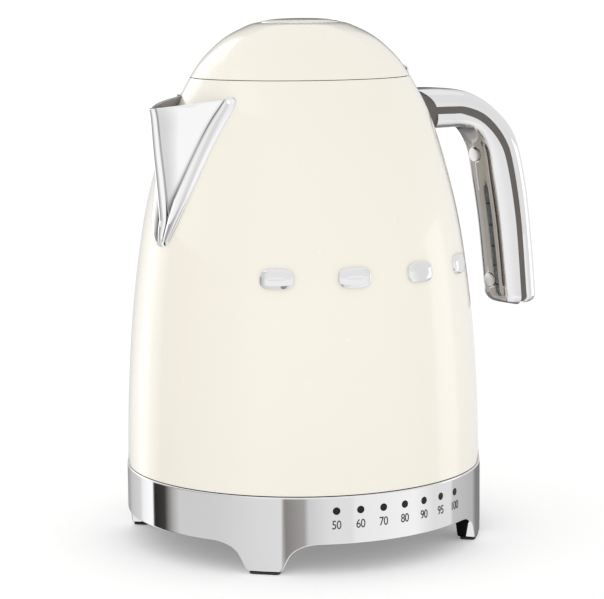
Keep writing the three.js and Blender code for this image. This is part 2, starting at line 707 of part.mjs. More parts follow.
// An open coil spring about the Z axis.
function coil(radius, wire, bottom, top, turns) {
  const points = [];
  const steps = turns * 8;
  for (let i = 0; i <= steps; i += 1) {
    const angle = (2 * Math.PI * turns * i) / steps;
    const height = bottom + ((top - bottom) * i) / steps;
    points.push(new THREE.Vector3(radius * Math.cos(angle), radius * Math.sin(angle), height));
  }
  const section = new THREE.Shape();
  section.absarc(0, 0, wire, 0, 2 * Math.PI);
  return new THREE.ExtrudeGeometry(section, {
    steps, curveSegments: 3, extrudePath: new THREE.CatmullRomCurve3(points), bevelEnabled: false });
}

buildBase();
buildVessel();
buildSpout();
buildHandle();
buildBadge();
buildHinge();
buildLid();

export default group;
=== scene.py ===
import math

import bmesh
import bpy
import numpy as np
from mathutils import Matrix, Vector


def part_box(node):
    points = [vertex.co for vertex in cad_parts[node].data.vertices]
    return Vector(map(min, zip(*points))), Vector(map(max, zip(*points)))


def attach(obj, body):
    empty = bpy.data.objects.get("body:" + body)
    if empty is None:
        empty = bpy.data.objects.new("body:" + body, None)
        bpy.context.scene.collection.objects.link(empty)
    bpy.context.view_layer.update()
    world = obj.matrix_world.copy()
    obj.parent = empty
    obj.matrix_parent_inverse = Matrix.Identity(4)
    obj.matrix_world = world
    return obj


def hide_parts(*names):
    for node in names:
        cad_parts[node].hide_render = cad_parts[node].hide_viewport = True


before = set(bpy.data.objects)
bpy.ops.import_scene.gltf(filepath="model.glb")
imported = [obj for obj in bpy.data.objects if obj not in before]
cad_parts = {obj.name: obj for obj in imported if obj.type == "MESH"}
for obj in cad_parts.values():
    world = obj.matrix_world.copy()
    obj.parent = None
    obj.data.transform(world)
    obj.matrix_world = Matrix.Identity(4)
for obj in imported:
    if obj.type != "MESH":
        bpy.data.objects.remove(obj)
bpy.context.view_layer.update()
print("frame loaded")

mm = 0.001
ringLow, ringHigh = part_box("lid_ring")
axisX = (ringLow.x + ringHigh.x) / 2 / mm  # the jug's upright axis, millimetres from the frame's origin

# Every shape below is worked out in millimetres from the jug's own axis, with the spout
# along -x, the handle along +x and the temperature panel facing -y.


def toFrame(points):
    return (np.asarray(points, float) + (axisX, 0, 0)) * mm


def addObject(name, data):
    obj = bpy.data.objects.new(name, data)
    bpy.context.scene.collection.objects.link(obj)
    return obj


def meshObject(name, points, faces):
    # these points are in metres already
    mesh = bpy.data.meshes.new(name)
    mesh.from_pydata(points.tolist(), [], faces)
    mesh.update()
    return addObject(name, mesh)


def crisp(obj, sharpAngle):
    # smooth shading that breaks at edges sharper than the angle, in degrees
    obj.data.shade_smooth()
    obj.data.set_sharp_from_angle(angle=math.radians(sharpAngle))
    return obj


def finishMesh(obj, sharpAngle=35):
    # merges doubled points, turns the faces outwards and keeps only the real edges crisp
    work = bmesh.new()
    work.from_mesh(obj.data)
    bmesh.ops.remove_doubles(work, verts=work.verts, dist=2e-6)
    bmesh.ops.dissolve_degenerate(work, edges=work.edges, dist=1e-7)
    bmesh.ops.recalc_face_normals(work, faces=work.faces)
    work.to_mesh(obj.data)
    work.free()
    return crisp(obj, sharpAngle)


def gridFaces(rows, columns, wrapRows, wrapColumns):
    # quads between neighbours of a rows x columns grid of points
    i = np.arange(rows if wrapRows else rows - 1)
    j = np.arange(columns if wrapColumns else columns - 1)
    a, b = np.meshgrid(i, j, indexing="ij")
    nextA, nextB = (a + 1) % rows, (b + 1) % columns
    corners = [(a, b), (nextA, b), (nextA, nextB), (a, nextB)]
    return np.stack([row * columns + column for row, column in corners], -1).reshape(-1, 4).tolist()


def surface(name, grid, wrapRows=False, wrapColumns=False, sharpAngle=35, shade=None):
    # grid holds one point per pair of parameters, shape rows x columns x 3; shade, one
    # number per point of painted shade for the plating's colour, is kept as the attribute "inward"
    rows, columns, _ = grid.shape
    obj = meshObject(name, toFrame(grid.reshape(-1, 3)), gridFaces(rows, columns, wrapRows, wrapColumns))
    if shade is not None:
        obj.data.attributes.new("inward", "FLOAT", "POINT").data.foreach_set("value", shade.ravel())
    return finishMesh(obj, sharpAngle)


def closedEnds(grid):
    # each end of a tube is closed by its last ring drawn together to that ring's middle
    first, last = [ring.mean(1, keepdims=True).repeat(grid.shape[1], 1) for ring in (grid[:1], grid[-1:])]
    return np.concatenate([first, grid, last])


def fullTurn(count):
    return np.linspace(0, 2 * math.pi, count, endpoint=False)


def polar(radius, angle, z):
    # points from their distance and angle round the axis and their height
    return np.stack(np.broadcast_arrays(radius * np.cos(angle), radius * np.sin(angle), z), -1)


def squared(t, power):
    # a sine or cosine raised to a power below 1, which makes a superellipse of an ellipse
    return np.sign(t) * np.abs(t) ** power


def bell(distance, width):
    # 1 at no distance, falling off as a bell curve
    return np.exp(-(distance / width) ** 2)


def eased(t):
    # 3t^2 - 2t^3 between 0 and 1
    t = np.clip(t, 0, 1)
    return t * t * (3 - 2 * t)


def parabola(start, corner, end, count):
    # leaves the start and reaches the end along the two lines that meet in the corner
    t = np.linspace(0, 1, count)[:, None]
    return (1 - t) ** 2 * start + 2 * t * (1 - t) * corner + t * t * end


def filleted(corners, radius, closed=False, steps=5, support=0.12):
    # a polyline with each corner replaced by a round of the given radius, and one more
    # point just before and after it so that the flat stretches stay flat in the shading
    corners = [np.array(c, float) for c in corners]
    count = len(corners)
    points = []
    for index, corner in enumerate(corners):
        if not closed and index in (0, count - 1):
            points.append(corner)
            continue
        before, after = corners[index - 1] - corner, corners[(index + 1) % count] - corner
        lengths = np.linalg.norm(before), np.linalg.norm(after)
        before, after = before / lengths[0], after / lengths[1]
        half = math.acos(np.clip(before @ after, -1, 1)) / 2
        reach = min(radius / max(math.tan(half), 1e-6), 0.42 * min(lengths))
        start, end = corner + before * reach, corner + after * reach
        edge = min(support, 0.3 * reach)
        points += [start + before * edge, *parabola(start, corner, end, steps + 1), end + after * edge]
    return np.array(points)


def spline(knots, count):
    # a smooth curve through the knots: each span is the cubic set by its four nearest
    # knots (uniform Catmull-Rom), sampled evenly along its length
    knots = np.array(knots, float)
    padded = np.vstack([knots[:1], knots, knots[-1:]])
    fine = np.linspace(0, len(knots) - 1, 60 * (len(knots) - 1) + 1)
    span = np.minimum(fine.astype(int), len(knots) - 2)
    t = (fine - span)[:, None]
    a, b, c, d = padded[span], padded[span + 1], padded[span + 2], padded[span + 3]
    dense = 0.5 * (2 * b + (c - a) * t + (2 * a - 5 * b + 4 * c - d) * t ** 2
                   + (3 * b - a - 3 * c + d) * t ** 3)
    steps = np.r_[0, np.cumsum(np.linalg.norm(np.diff(dense, axis=0), axis=1))]
    wanted = np.linspace(0, steps[-1], count)
    return np.stack([np.interp(wanted, steps, dense[:, k]) for k in range(dense.shape[1])], -1)


def offsetLine(points, distance):
    # a polyline moved sideways: to its right-hand side for a positive distance
    tangent = np.gradient(points, axis=0)
    tangent /= np.linalg.norm(tangent, axis=1)[:, None]
    return points + distance * np.stack([tangent[:, 1], -tangent[:, 0]], -1)


def turned(name, outline, steps=144, direction=(0, 0, 1), place=(0, 0, 0), sharpAngle=35):
    # revolves an outline of [radius, height] about z, then aims the piece along the
    # direction; an outline that starts on the axis stays open, any other closes on itself
    outline = np.asarray(outline, float)
    grid = polar(outline[None, :, 0], fullTurn(steps)[:, None], outline[None, :, 1])
    turn = np.array(Vector((0, 0, 1)).rotation_difference(Vector(direction)).to_matrix())
    grid = grid @ turn.T + np.array(place, float)
    return surface(name, grid, wrapRows=True, wrapColumns=outline[0, 0] > 0, sharpAngle=sharpAngle)


def rounded(name, outline, fillet, steps=144, direction=(0, 0, 1), place=(0, 0, 0)):
    # a turned piece whose outline first has its corners rounded
    return turned(name, filleted(outline, fillet, closed=outline[0][0] > 0), steps, direction, place)


def drill(radius, low, high, steps, direction=(0, 0, 1), place=(0, 0, 0)):
    # a plain cylinder to cut with, from low to high along its direction
    return turned("drill", [[0, low], [radius, low], [radius, high], [0, high]], steps, direction, place)


def roundedOutline(halfWidth, low, high, radius, steps=8):
    corners = [(-halfWidth, low), (halfWidth, low), (halfWidth, high), (-halfWidth, high)]
    return filleted(corners, radius, closed=True, steps=steps)


def prism(name, outline, start, end):
    # an outline in the (sideways, height) plane carried along x
    points = np.concatenate([np.insert(np.array(outline, float), 0, x, axis=1) for x in (start, end)])
    count = len(outline)
    faces = gridFaces(2, count, False, True)
    faces += [list(range(count)), list(range(2 * count - 1, count - 1, -1))]
    return finishMesh(meshObject(name, toFrame(points), faces))


def applied(obj):
    # the mesh that an object's modifiers, or a text's settings, come to
    bpy.context.view_layer.update()
    return bpy.data.meshes.new_from_object(obj.evaluated_get(bpy.context.evaluated_depsgraph_get()))


def cut(obj, cutters):
    # subtracts the cutters, which are then removed
    for cutter in cutters:
        modifier = obj.modifiers.new("cut", "BOOLEAN")
        modifier.operation = "DIFFERENCE"
        modifier.solver = "EXACT"
        modifier.object = cutter
    result = applied(obj)
    obj.modifiers.clear()
    old = obj.data
    obj.data = result
    obj.data.name = obj.name
    bpy.data.meshes.remove(old)
    for cutter in cutters:
        bpy.data.objects.remove(cutter)
    return crisp(obj, 30)


def asOne(name, objects):
    # joins meshes into one object
    work = bmesh.new()
    for obj in objects:
        work.from_mesh(obj.data)
        bpy.data.objects.remove(obj)
    mesh = bpy.data.meshes.new(name)
    work.to_mesh(mesh)
    work.free()
    return crisp(addObject(name, mesh), 35)


def plug(tree, value, slot):
    # links a Value to a socket, or sets a plain number or colour on it
    if isinstance(value, Value):
        tree.links.new(value.socket, slot)
    else:
        slot.default_value = value


class Value:
    # a node socket that Python's arithmetic works on
    def __init__(self, tree, socket):
        self.tree, self.socket = tree, socket

    def calc(self, operation, first, second):
        node = self.tree.nodes.new("ShaderNodeMath")
        node.operation = operation
        plug(self.tree, first, node.inputs[0])
        plug(self.tree, second, node.inputs[1])
        return Value(self.tree, node.outputs[0])

    def __add__(self, other):
        return self.calc("ADD", self, other)

    def __mul__(self, other):
        return self.calc("MULTIPLY", self, other)

    def __pow__(self, other):
        return self.calc("POWER", self, other)

    def __neg__(self):
        return self.calc("MULTIPLY", self, -1)

    def less(self, other):
        return self.calc("LESS_THAN", self, other)

    __radd__ = __add__
    __rmul__ = __mul__


class Finish:
    # a material being wired up
    def __init__(self, name):
        self.material = bpy.data.materials.new(name)
        self.material.use_nodes = True
        self.tree = self.material.node_tree
        self.shader = self.tree.nodes["Principled BSDF"]

    def node(self, kind, settings=None, sockets=None, output=0):
        made = self.tree.nodes.new("ShaderNode" + kind)
        for key, value in (settings or {}).items():
            if key == "stops":  # those of a colour ramp
                ramp = made.color_ramp
                for index, (place, colour) in enumerate(value):
                    stop = ramp.elements[index] if index < 2 else ramp.elements.new(place)
                    stop.position, stop.color = place, (*colour, 1)
            else:
                setattr(made, key, value)
        for key, value in (sockets or {}).items():
            plug(self.tree, value, made.inputs[key])
        return Value(self.tree, made.outputs[output])

    def place(self, scale=(1, 1, 1)):
        where = self.node("TexCoord", output=3)
        return self.node("Mapping", None, {0: where, "Scale": scale})

    def noise(self, scale, detail=3, stretch=(1, 1, 1)):
        return self.node("TexNoise", None, {"Vector": self.place(stretch), "Scale": scale, "Detail": detail})

    def mix(self, factor, first, second):
        ends = [end if isinstance(end, Value) else (*end, 1) for end in (first, second)]
        return self.node("Mix", {"data_type": "RGBA"}, {0: factor, 6: ends[0], 7: ends[1]}, output=2)

    def bump(self, height, distance, strength):
        return self.node("Bump", None, {"Height": height, "Distance": distance, "Strength": strength})

    def set(self, **sockets):
        for key, value in sockets.items():
            plug(self.tree, value, self.shader.inputs[key.replace("_", " ")])
        return self


paintLook = {"light": (0.905, 0.868, 0.765), "shade": (0.885, 0.842, 0.735), "roughness": 0.24, "coat": 1.0}
# the last tone is painted shade, mixed into the plating's colour where it would only mirror a gap
chromeLook = {"light": (0.84, 0.84, 0.85), "shade": (0.80, 0.80, 0.81), "roughness": 0.035, "smudge": 0.03,
              "gap": (0.36, 0.335, 0.325)}


def creamPaint():
    look = paintLook
    paint = Finish("cream_paint")
    cloud = paint.noise(9, 2)
    peel = paint.noise(620, 2)
    paint.set(Base_Color=paint.mix(cloud, look["light"], look["shade"]),
              Roughness=look["roughness"] + 0.05 * paint.noise(40, 4),
              Coat_Weight=look["coat"], Coat_Roughness=0.03, Coat_IOR=1.5,
              Normal=paint.bump(peel, 0.00001, 0.35))
    return paint.material


def chromeFinish(name="chrome", shadeBy=None, gapTone=chromeLook["gap"], lift=0.0):
    # bright plating with faint smears; an attribute mixes painted shade into its colour where it would only
    # mirror a gap or a crease
    look = chromeLook
    chrome = Finish(name)
    smudge = chrome.noise(55, 6)
    wave = chrome.noise(18, 1)
    light, shade = [tuple(c + lift for c in look[key]) for key in ("light", "shade")]
    colour = chrome.mix(chrome.noise(30, 3), light, shade)
    if shadeBy:
        # painted shade: the colour is mixed towards the painted-shade tone where this attribute is high
        inward = chrome.node("Attribute", {"attribute_name": shadeBy}, output=2)
        colour = chrome.mix(inward, colour, gapTone)
    chrome.set(Base_Color=colour, Metallic=1.0, Roughness=look["roughness"] + look["smudge"] * smudge ** 2,
               Normal=chrome.bump(wave, 0.00003, 0.3))
    return chrome.material


def dullPlating(name, light, shade, roughness=0.32):
    # plating left less polished than the outside, and darker; on the screw caps that darker tone is painted
    # shade
    dull = Finish(name)
    dull.set(Base_Color=dull.mix(dull.noise(40, 4), shade, light), Metallic=1.0,
             Roughness=roughness + 0.12 * dull.noise(300, 4))
    return dull.material


def brushedSteel(name="brushed_steel", light=(0.62, 0.62, 0.63), shade=(0.5, 0.5, 0.51), stretch=(6, 6, 900)):
    steel = Finish(name)
    grain = steel.noise(4, 5, stretch)
    steel.set(Base_Color=steel.mix(grain, shade, light), Metallic=1.0, Roughness=0.24 + 0.22 * grain,
              Normal=steel.bump(grain, 0.00002, 0.6))
    return steel.material


def aluminiumFinish():
    cast = Finish("cast_aluminium")
    grain = cast.noise(700, 5)
    cast.set(Base_Color=cast.mix(cast.noise(60, 4), (0.6, 0.6, 0.61), (0.72, 0.72, 0.73)), Metallic=1.0,
             Roughness=0.42 + 0.2 * grain, Normal=cast.bump(grain, 0.00006, 0.7))
    return cast.material


def moulded(name, light, shade, roughness, grainScale=1500, grainDepth=0.00003):
    # moulded plastic or rubber: a fine sparked grain and a slow drift of tone
    part = Finish(name)
    grain = part.noise(grainScale, 2)
    part.set(Base_Color=part.mix(part.noise(45, 4), shade, light), Roughness=roughness + 0.12 * grain,
             Normal=part.bump(grain, grainDepth, 0.8))
    return part.material


def lensFinish():
    lens = Finish("smoked_lens")
    lens.set(Base_Color=lens.mix(lens.noise(900, 3), (0.004, 0.004, 0.004), (0.012, 0.012, 0.011)),
             Roughness=0.18 + 0.1 * lens.noise(500, 3), Specular_IOR_Level=0.25)
    return lens.material


def inkFinish():
    ink = Finish("printed_ink")
    ink.set(Base_Color=ink.mix(ink.noise(2500, 2), (0.012, 0.012, 0.013), (0.03, 0.03, 0.03)),
            Roughness=0.45 + 0.15 * ink.noise(1800, 2))
    return ink.material


def windowFinish():
    # clear plastic with dark level marks printed across it, one each centimetre of height
    clear = Finish("clear_window")
    split = clear.node("SeparateXYZ", None, {0: clear.node("TexCoord", output=3)}, 2)
    phase = clear.node("Math", {"operation": "FRACT"}, {0: split * 100})
    marks = phase.less(0.06)
    clear.set(Base_Color=clear.mix(marks, (0.78, 0.84, 0.86), (0.03, 0.03, 0.03)), Transmission_Weight=0.75,
              Roughness=0.05 + 0.05 * clear.noise(200, 2), IOR=1.49)
    return clear.material


def boardFinish():
    board = Finish("circuit_board")
    tracks = board.node("TexBrick", {"offset": 0.5}, {
        "Vector": board.place((300, 300, 300)), "Scale": 1.0, "Mortar Size": 0.05,
        "Color1": (0.015, 0.09, 0.04, 1), "Color2": (0.02, 0.12, 0.05, 1), "Mortar": (0.12, 0.2, 0.06, 1)})
    board.set(Base_Color=tracks, Roughness=0.4 + 0.2 * board.noise(300, 3))
    return board.material


paint = creamPaint()
chrome = chromeFinish()
# the palm and spout plating hold painted shade: their colour darkens where the "inward" attribute is high
palmChrome = chromeFinish("palm_chrome_painted_shade", "inward")
# the spout's painted shade tone is near black, for its creases and folds
spoutChrome = chromeFinish("spout_chrome_painted_shade", "inward", (0.035, 0.035, 0.038), 0.09)
darkChrome = dullPlating("dull_plating", (0.43, 0.425, 0.42), (0.36, 0.355, 0.35))
# the screw caps' plating has a darker base colour: painted shade for the shaded gap they mirror
capChrome = dullPlating("cap_plating_painted_shade", (0.58, 0.56, 0.55), (0.50, 0.48, 0.47), 0.1)
steel = brushedSteel()
plainSteel = brushedSteel("plain_steel", (0.55, 0.55, 0.56), (0.42, 0.42, 0.43), (80, 80, 80))
aluminium = aluminiumFinish()
greyPlastic = moulded("warm_grey_plastic", (0.112, 0.101, 0.094), (0.088, 0.079, 0.073), 0.36)
darkPlastic = moulded("black_plastic", (0.03, 0.03, 0.032), (0.018, 0.018, 0.02), 0.45)
rubber = moulded("foot_rubber", (0.03, 0.03, 0.03), (0.015, 0.015, 0.015), 0.75, 900, 0.00006)
silicone = moulded("silicone", (0.6, 0.6, 0.58), (0.5, 0.5, 0.48), 0.42, 600, 0.00002)
lensBlack = lensFinish()
ink = inkFinish()
clearWindow = windowFinish()
boardGreen = boardFinish()
print("materials ready")


def keep(obj, body, slotName, material, *nodes):
    # puts a finished piece on its body, gives it its finish and hides the nodes it stands for
    obj.data.materials.clear()
    obj.data.materials.append(material)
    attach(obj, body)
    if nodes:
        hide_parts(*nodes)
    return obj


jugShape = {
    "knots": [[85.0, 36.5], [84.1, 70], [81.3, 110], [75.9, 150], [68.9, 180], [62.5, 200], [58.1, 210],
              [52.2, 220.7]],
    "wall": 1.5,
    "rows": 90,
    "columns": 240,
    "pour": [(-15, 205), (-5, 172), (5, 172), (15, 205)],  # the opening behind the spout
}
windowShape = {"halfWidth": 6, "low": 72, "high": 150, "corner": 4.0, "rim": 2.4, "rimCorner": 6,
               "play": 0.25}
jugLine = spline(jugShape["knots"], 400)


def jugRadius(z):
    return np.interp(z, jugLine[:, 1], jugLine[:, 0])


def jugPoint(angle, z, height=0.0):
    # a point on the jug's outside, or a given height above it, measured along its normal
    slope = jugRadius(z + 0.5) - jugRadius(z - 0.5)
    length = np.sqrt(1 + slope ** 2)
    return polar(jugRadius(z) + height / length, angle, z - height * slope / length)


def windowOutline(grow=0.0, radius=windowShape["corner"]):
    shape = windowShape
    return roundedOutline(shape["halfWidth"] + grow, shape["low"] - grow, shape["high"] + grow, radius)


def makeJugShell():
    outer = spline(jugShape["knots"], jugShape["rows"])
    inner = offsetLine(outer, -jugShape["wall"])[::-1]
    lowerEdge = np.array([[inner[-1, 0] + 0.3, 36.55], [84.6, 36.5]])
    outline = np.vstack([outer, (outer[-1] + inner[0]) / 2 + [0, 0.15], inner, lowerEdge])
    shell = turned("jug_shell", outline, jugShape["columns"], sharpAngle=50)
    pour = prism("pour_cut", jugShape["pour"], -120, -20)
    gauge = prism("gauge_cut", windowOutline(), 20, 120)
    keep(cut(shell, [pour, gauge]), "jug", "cream_paint", paint, "body_shell")


makeJugShell()
print("jug shell made")

lidShape = {
    "knots": [[52.0, 221.2], [45.6, 230], [35.7, 239], [24.6, 244.8], [18.8, 246.3]],
    "wall": 1.8,
    "hole": [18.7, 246.1],
    "rim": [52.15, 220.98],
    "ring": (16.7, 18.4, 243.4, 246.75),
    "button": (16.3, 245.8, 248.0),
    "liner": [[0, 210.5], [43.0, 210.5], [44.2, 211.7], [44.2, 222.2], [47.0, 222.2], [46.2, 223.8],
              [42.6, 223.8], [42.6, 212.1], [5.4, 212.1], [5.4, 238], [3.5, 238], [3.5, 212.1], [0, 212.1]],
    "latchSlot": [(-4.5, 213.5), (4.5, 213.5), (4.5, 217.5), (-4.5, 217.5)],
    "lips": [[44.5, 217.8], [45.2, 217.8], [45.6, 218.3], [45.1, 218.7], [45.6, 219.1], [45.2, 219.6],
             [44.5, 219.6]],
}


def makeDome():
    # the outside, the same line one wall further in, and a rounded rim between them
    outer = spline(lidShape["knots"], 60)
    outer = np.vstack([outer[:-1], [lidShape["hole"]]])
    inner = offsetLine(outer, -lidShape["wall"])[::-1]
    inner[0, 0] = lidShape["hole"][0]
    rim = filleted([outer[1], lidShape["rim"], inner[-2]], 0.3)
    shell = turned("lid_dome", np.vstack([rim[1:-1][::-1], outer[2:], inner[:-2]]), 240, sharpAngle=50)
    keep(shell, "lid", "cream_paint", paint, "lid_shell")


def makeLidTop():
    inside, outside, low, high = lidShape["ring"]
    ring = [[inside, low], [outside, low], [outside, high], [inside, high]]
    keep(rounded("lid_trim_ring", ring, 0.5, 160), "lid", "chrome", chrome, "lid_ring")
    # the button's crown falls away as a cosine, and its stem reaches down to the latch
    radius, low, high = lidShape["button"]
    turn = np.linspace(0, 1.25, 14)
    crown = np.stack([radius * np.sin(turn), high - 1.3 * (1 - np.cos(turn))], -1)
    edge = filleted([crown[-1], [radius, high - 1.5], [radius, low], [3, low], [3, 215], [0, 215]], 0.5)
    cap = turned("lid_push_button", np.vstack([crown, edge[1:]]), 160, sharpAngle=50)
    keep(cap, "lid_button", "cream_paint", paint, "lid_button")


def makeLidInside():
    liner = rounded("lid_plug", lidShape["liner"], 0.5)
    slot = prism("slot_cut", lidShape["latchSlot"], -50, -35)
    keep(cut(liner, [slot]), "lid", "dark_plastic", darkPlastic, "lid_liner")
    keep(rounded("lid_seal", lidShape["lips"], 0.2), "lid", "silicone", silicone, "lid_gasket")


makeDome()
makeLidTop()
makeLidInside()
print("lid made")

spoutShape = {
    "flangeEdge": [[0.0, 144.6], [2.6, 144.8], [4.6, 145.7], [6.4, 147.4], [8.3, 150.6], [10.8, 155.4],
                   [15.0, 166.0], [18.7, 177.4], [21.9, 189.2], [24.7, 200.4], [26.1, 206.5], [26.4, 210.2],
                   [25.7, 212.2], [23.6, 213.6]],
    "crease": [[0.0, 157.0], [2.4, 160.0], [4.3, 163.4], [8.8, 174.1], [13.0, 186.0], [16.7, 198.3],
               [19.9, 207.8], [21.6, 213.0]],
    "keel": [[76.9, 144.6], [77.0, 154.9], [77.6, 164.2], [78.6, 175.8], [79.9, 189.6], [80.9, 203.4],
             [81.7, 208.2], [81.8, 209.0]],
    "rib": (2.9, 2.0),
    "bead": 2.3,
    "beadPower": 0.82,
    "rimAcross": [81.7, 79.6, 55.5, 50.0],
    "rimSlope": 0.168,
    "rimBulge": 2.3,
    "wall": 1.1,
}


def thicken(obj, wall, rowWeights, columns):
    # grows a wall inwards, with its inner side in the piece's second finish
    thick = obj.modifiers.new("wall", "SOLIDIFY")
    thick.thickness = wall * mm
    thick.offset = -1
    thick.use_even_offset = False
    thick.material_offset = 1
    group = obj.vertex_groups.new(name="wall")
    for row, weight in enumerate(rowWeights):
        group.add(list(range(row * columns, (row + 1) * columns)), float(weight), "REPLACE")
    thick.vertex_group = "wall"


def makeSpout():
    # across the spout u runs over half of it: round the rib at the front (0 to 1), along the
    # wall to the crease (1 to 2), then over the rounded bead to the jug (2 to 3); up the
    # spout v runs from the tip of the bead to the rim
    shape = spoutShape
    edgeLine, creaseLine, keelLine = [spline(shape[key], 300) for key in ("flangeEdge", "crease", "keel")]
    low, frontTop = shape["flangeEdge"][0][1], shape["keel"][-2][1]
    v = np.linspace(0, 1, 170)[:, None]
    spacing = 0.5 - 0.5 * np.cos(math.pi * np.linspace(0, 1, 45)[1:])
    u = np.concatenate([np.linspace(0, 1, 22), 1 + spacing, 2 + spacing])[None, :]
    topAcross = np.interp(u, [0, 1, 2, 3], shape["rimAcross"])
    top = frontTop + shape["rimSlope"] * (shape["rimAcross"][0] - topAcross)
    z = low + (top - low) * v ** 1.45
    share = (z - low) / (frontTop - low)
    edge = np.interp(z, edgeLine[:, 1], edgeLine[:, 0])
    crease = np.interp(z, creaseLine[:, 1], creaseLine[:, 0], left=0)
    crease = np.clip(crease, edge * 0.38, edge * 0.86)
    rib = shape["rib"][0] + (shape["rib"][1] - shape["rib"][0]) * share
    rib = np.minimum(rib, 0.72 * crease)
    bead = shape["bead"] * (1 - np.exp(-(z - low) / 3.0))

    def jugX(y):
        return np.sqrt(np.maximum(jugRadius(z) ** 2 - y ** 2, 1))

    keel = np.interp(z, keelLine[:, 1], keelLine[:, 0])
    keel = np.maximum(keel, jugX(0 * z) + bead * 1.1 + 0.1)
    # the rib: most of a half circle
    turn = math.radians(96) * np.clip(u, 0, 1)
    ribY, ribX = rib * np.sin(turn), keel - rib * (1 - np.cos(turn))
    # the bead starts low beside the wall, and on its crown where it turns round the tip
    first, last = np.radians(172 - 80 * bell(z - low, 4.0)), math.radians(-14)
    # the wall: a chord from beside the rib to the crease, bowed out near the rim
    along = np.clip(u - 1, 0, 1)
    startY, startX = rib + 0.3 * (rib > 0.2), keel - rib * 1.2
    power = shape["beadPower"]
    creaseX = jugX(crease) + bead * np.abs(np.sin(first)) ** power - 0.3
    startX = np.maximum(startX, creaseX - 0.2)
    chordY, chordX = crease - startY, creaseX - startX
    length = np.sqrt(chordY ** 2 + chordX ** 2) + 1e-6
    bow = shape["rimBulge"] * np.clip((share - 0.15) / 0.85, 0, 1) ** 1.2
    bow = bow * np.minimum(length / 24, 1) * np.sin(math.pi * along)
    wallY = startY + chordY * along - bow * chordX / length
    wallX = startX + chordX * along + bow * chordY / length
    # the bead: a superellipse from the crease up over its crown and down into the jug
    over = np.clip(u - 2, 0, 1)
    roll = first + (last - first) * over
    firstAcross, rollAcross, lastAcross = [squared(np.cos(a), power) for a in (first, roll, last)]
    beadY = crease + (edge - crease) * (firstAcross - rollAcross) / (firstAcross - lastAcross)
    beadX = jugX(beadY) + bead * squared(np.sin(roll), power)
    y = np.where(u <= 1, ribY, np.where(u <= 2, wallY, beadY))
    x = np.where(u <= 1, ribX, np.where(u <= 2, wallX, beadX))
    near = np.stack([-x, -y, z + 0 * x], -1)
    whole = np.concatenate([near[:, :0:-1], near * (1, -1, 1)], axis=1)
    # painted shade: the plating's colour is darkened within a few millimetres of the crease, the
    # bead's root and the fold beside the rib, where it would mirror only itself
    creaseWidth = 1.3 + 4.0 * np.clip(0.75 - share, 0, 1) ** 2
    onWall = bell((1 - along) * length, creaseWidth) * (u > 1)
    onBead = bell(over * (edge - crease), 1.3)
    rooted = 0.7 * bell((1 - over) * (edge - crease), 0.45)
    folded = bell(along * length, 0.3) * (u >= 1) + bell((1 - np.clip(u, 0, 1)) * rib, 0.25) * (u < 1)
    beside = np.where(u <= 2, np.maximum(onWall, 0.55 * folded), np.maximum(onBead, rooted))
    inward = np.where(u <= 1, 0.55 * folded, beside) * np.clip((z - low) / 6.0, 0, 1)
    inward = np.concatenate([inward[:, :0:-1], inward], axis=1)
    obj = surface("spout_beak", whole, sharpAngle=60, shade=inward)
    # the wall thins to almost nothing in the solid tip, one weight per row of the grid
    thicken(obj, shape["wall"], np.clip((z[:, 0] - low - 2) / 6, 0.03, 1), whole.shape[1])
    keep(obj, "jug", "chrome", spoutChrome, "spout")
    obj.data.materials.append(darkChrome)


makeSpout()
print("spout made")

handleShape = {
    "back": [[62, 212.9], [78, 212.6], [95.3, 210.2], [110.8, 202.3], [124, 188.6], [131, 165], [135.5, 133],
             [138.2, 106]],
    "stripOuter": [[72.7, 203.2], [82, 203.1], [91.6, 202.3], [103.4, 197.5], [114.4, 186.4], [119.9, 173],
                   [125.3, 144.4], [129.0, 105.5]],
    "stripInner": [[73.4, 200.1], [82, 200.0], [90.6, 199.4], [101.6, 194.8], [111.6, 184.9], [116.9, 172.2],
                   [122.3, 144.2], [126.0, 105.5]],
    "palm": [[73.4, 192.6], [83, 192.7], [91, 192.5], [98.4, 190.1], [103, 180.5], [105.5, 165], [109.6, 141],
             [113.8, 108]],
    "halfWidth": 10.7,
    "backPower": 2 / 2.9,
    "palmPower": 2 / 3.3,
    "screws": {"top": (103.0, 0, 177.9), "bottom": (113.1, 0, 113.7)},
    "screwWay": (0.9878, 0, 0.1554),
    "screwCap": [[0, -0.55], [3.5, -0.35], [3.75, 0.0], [3.75, 1.5], [0, 1.5]],
}


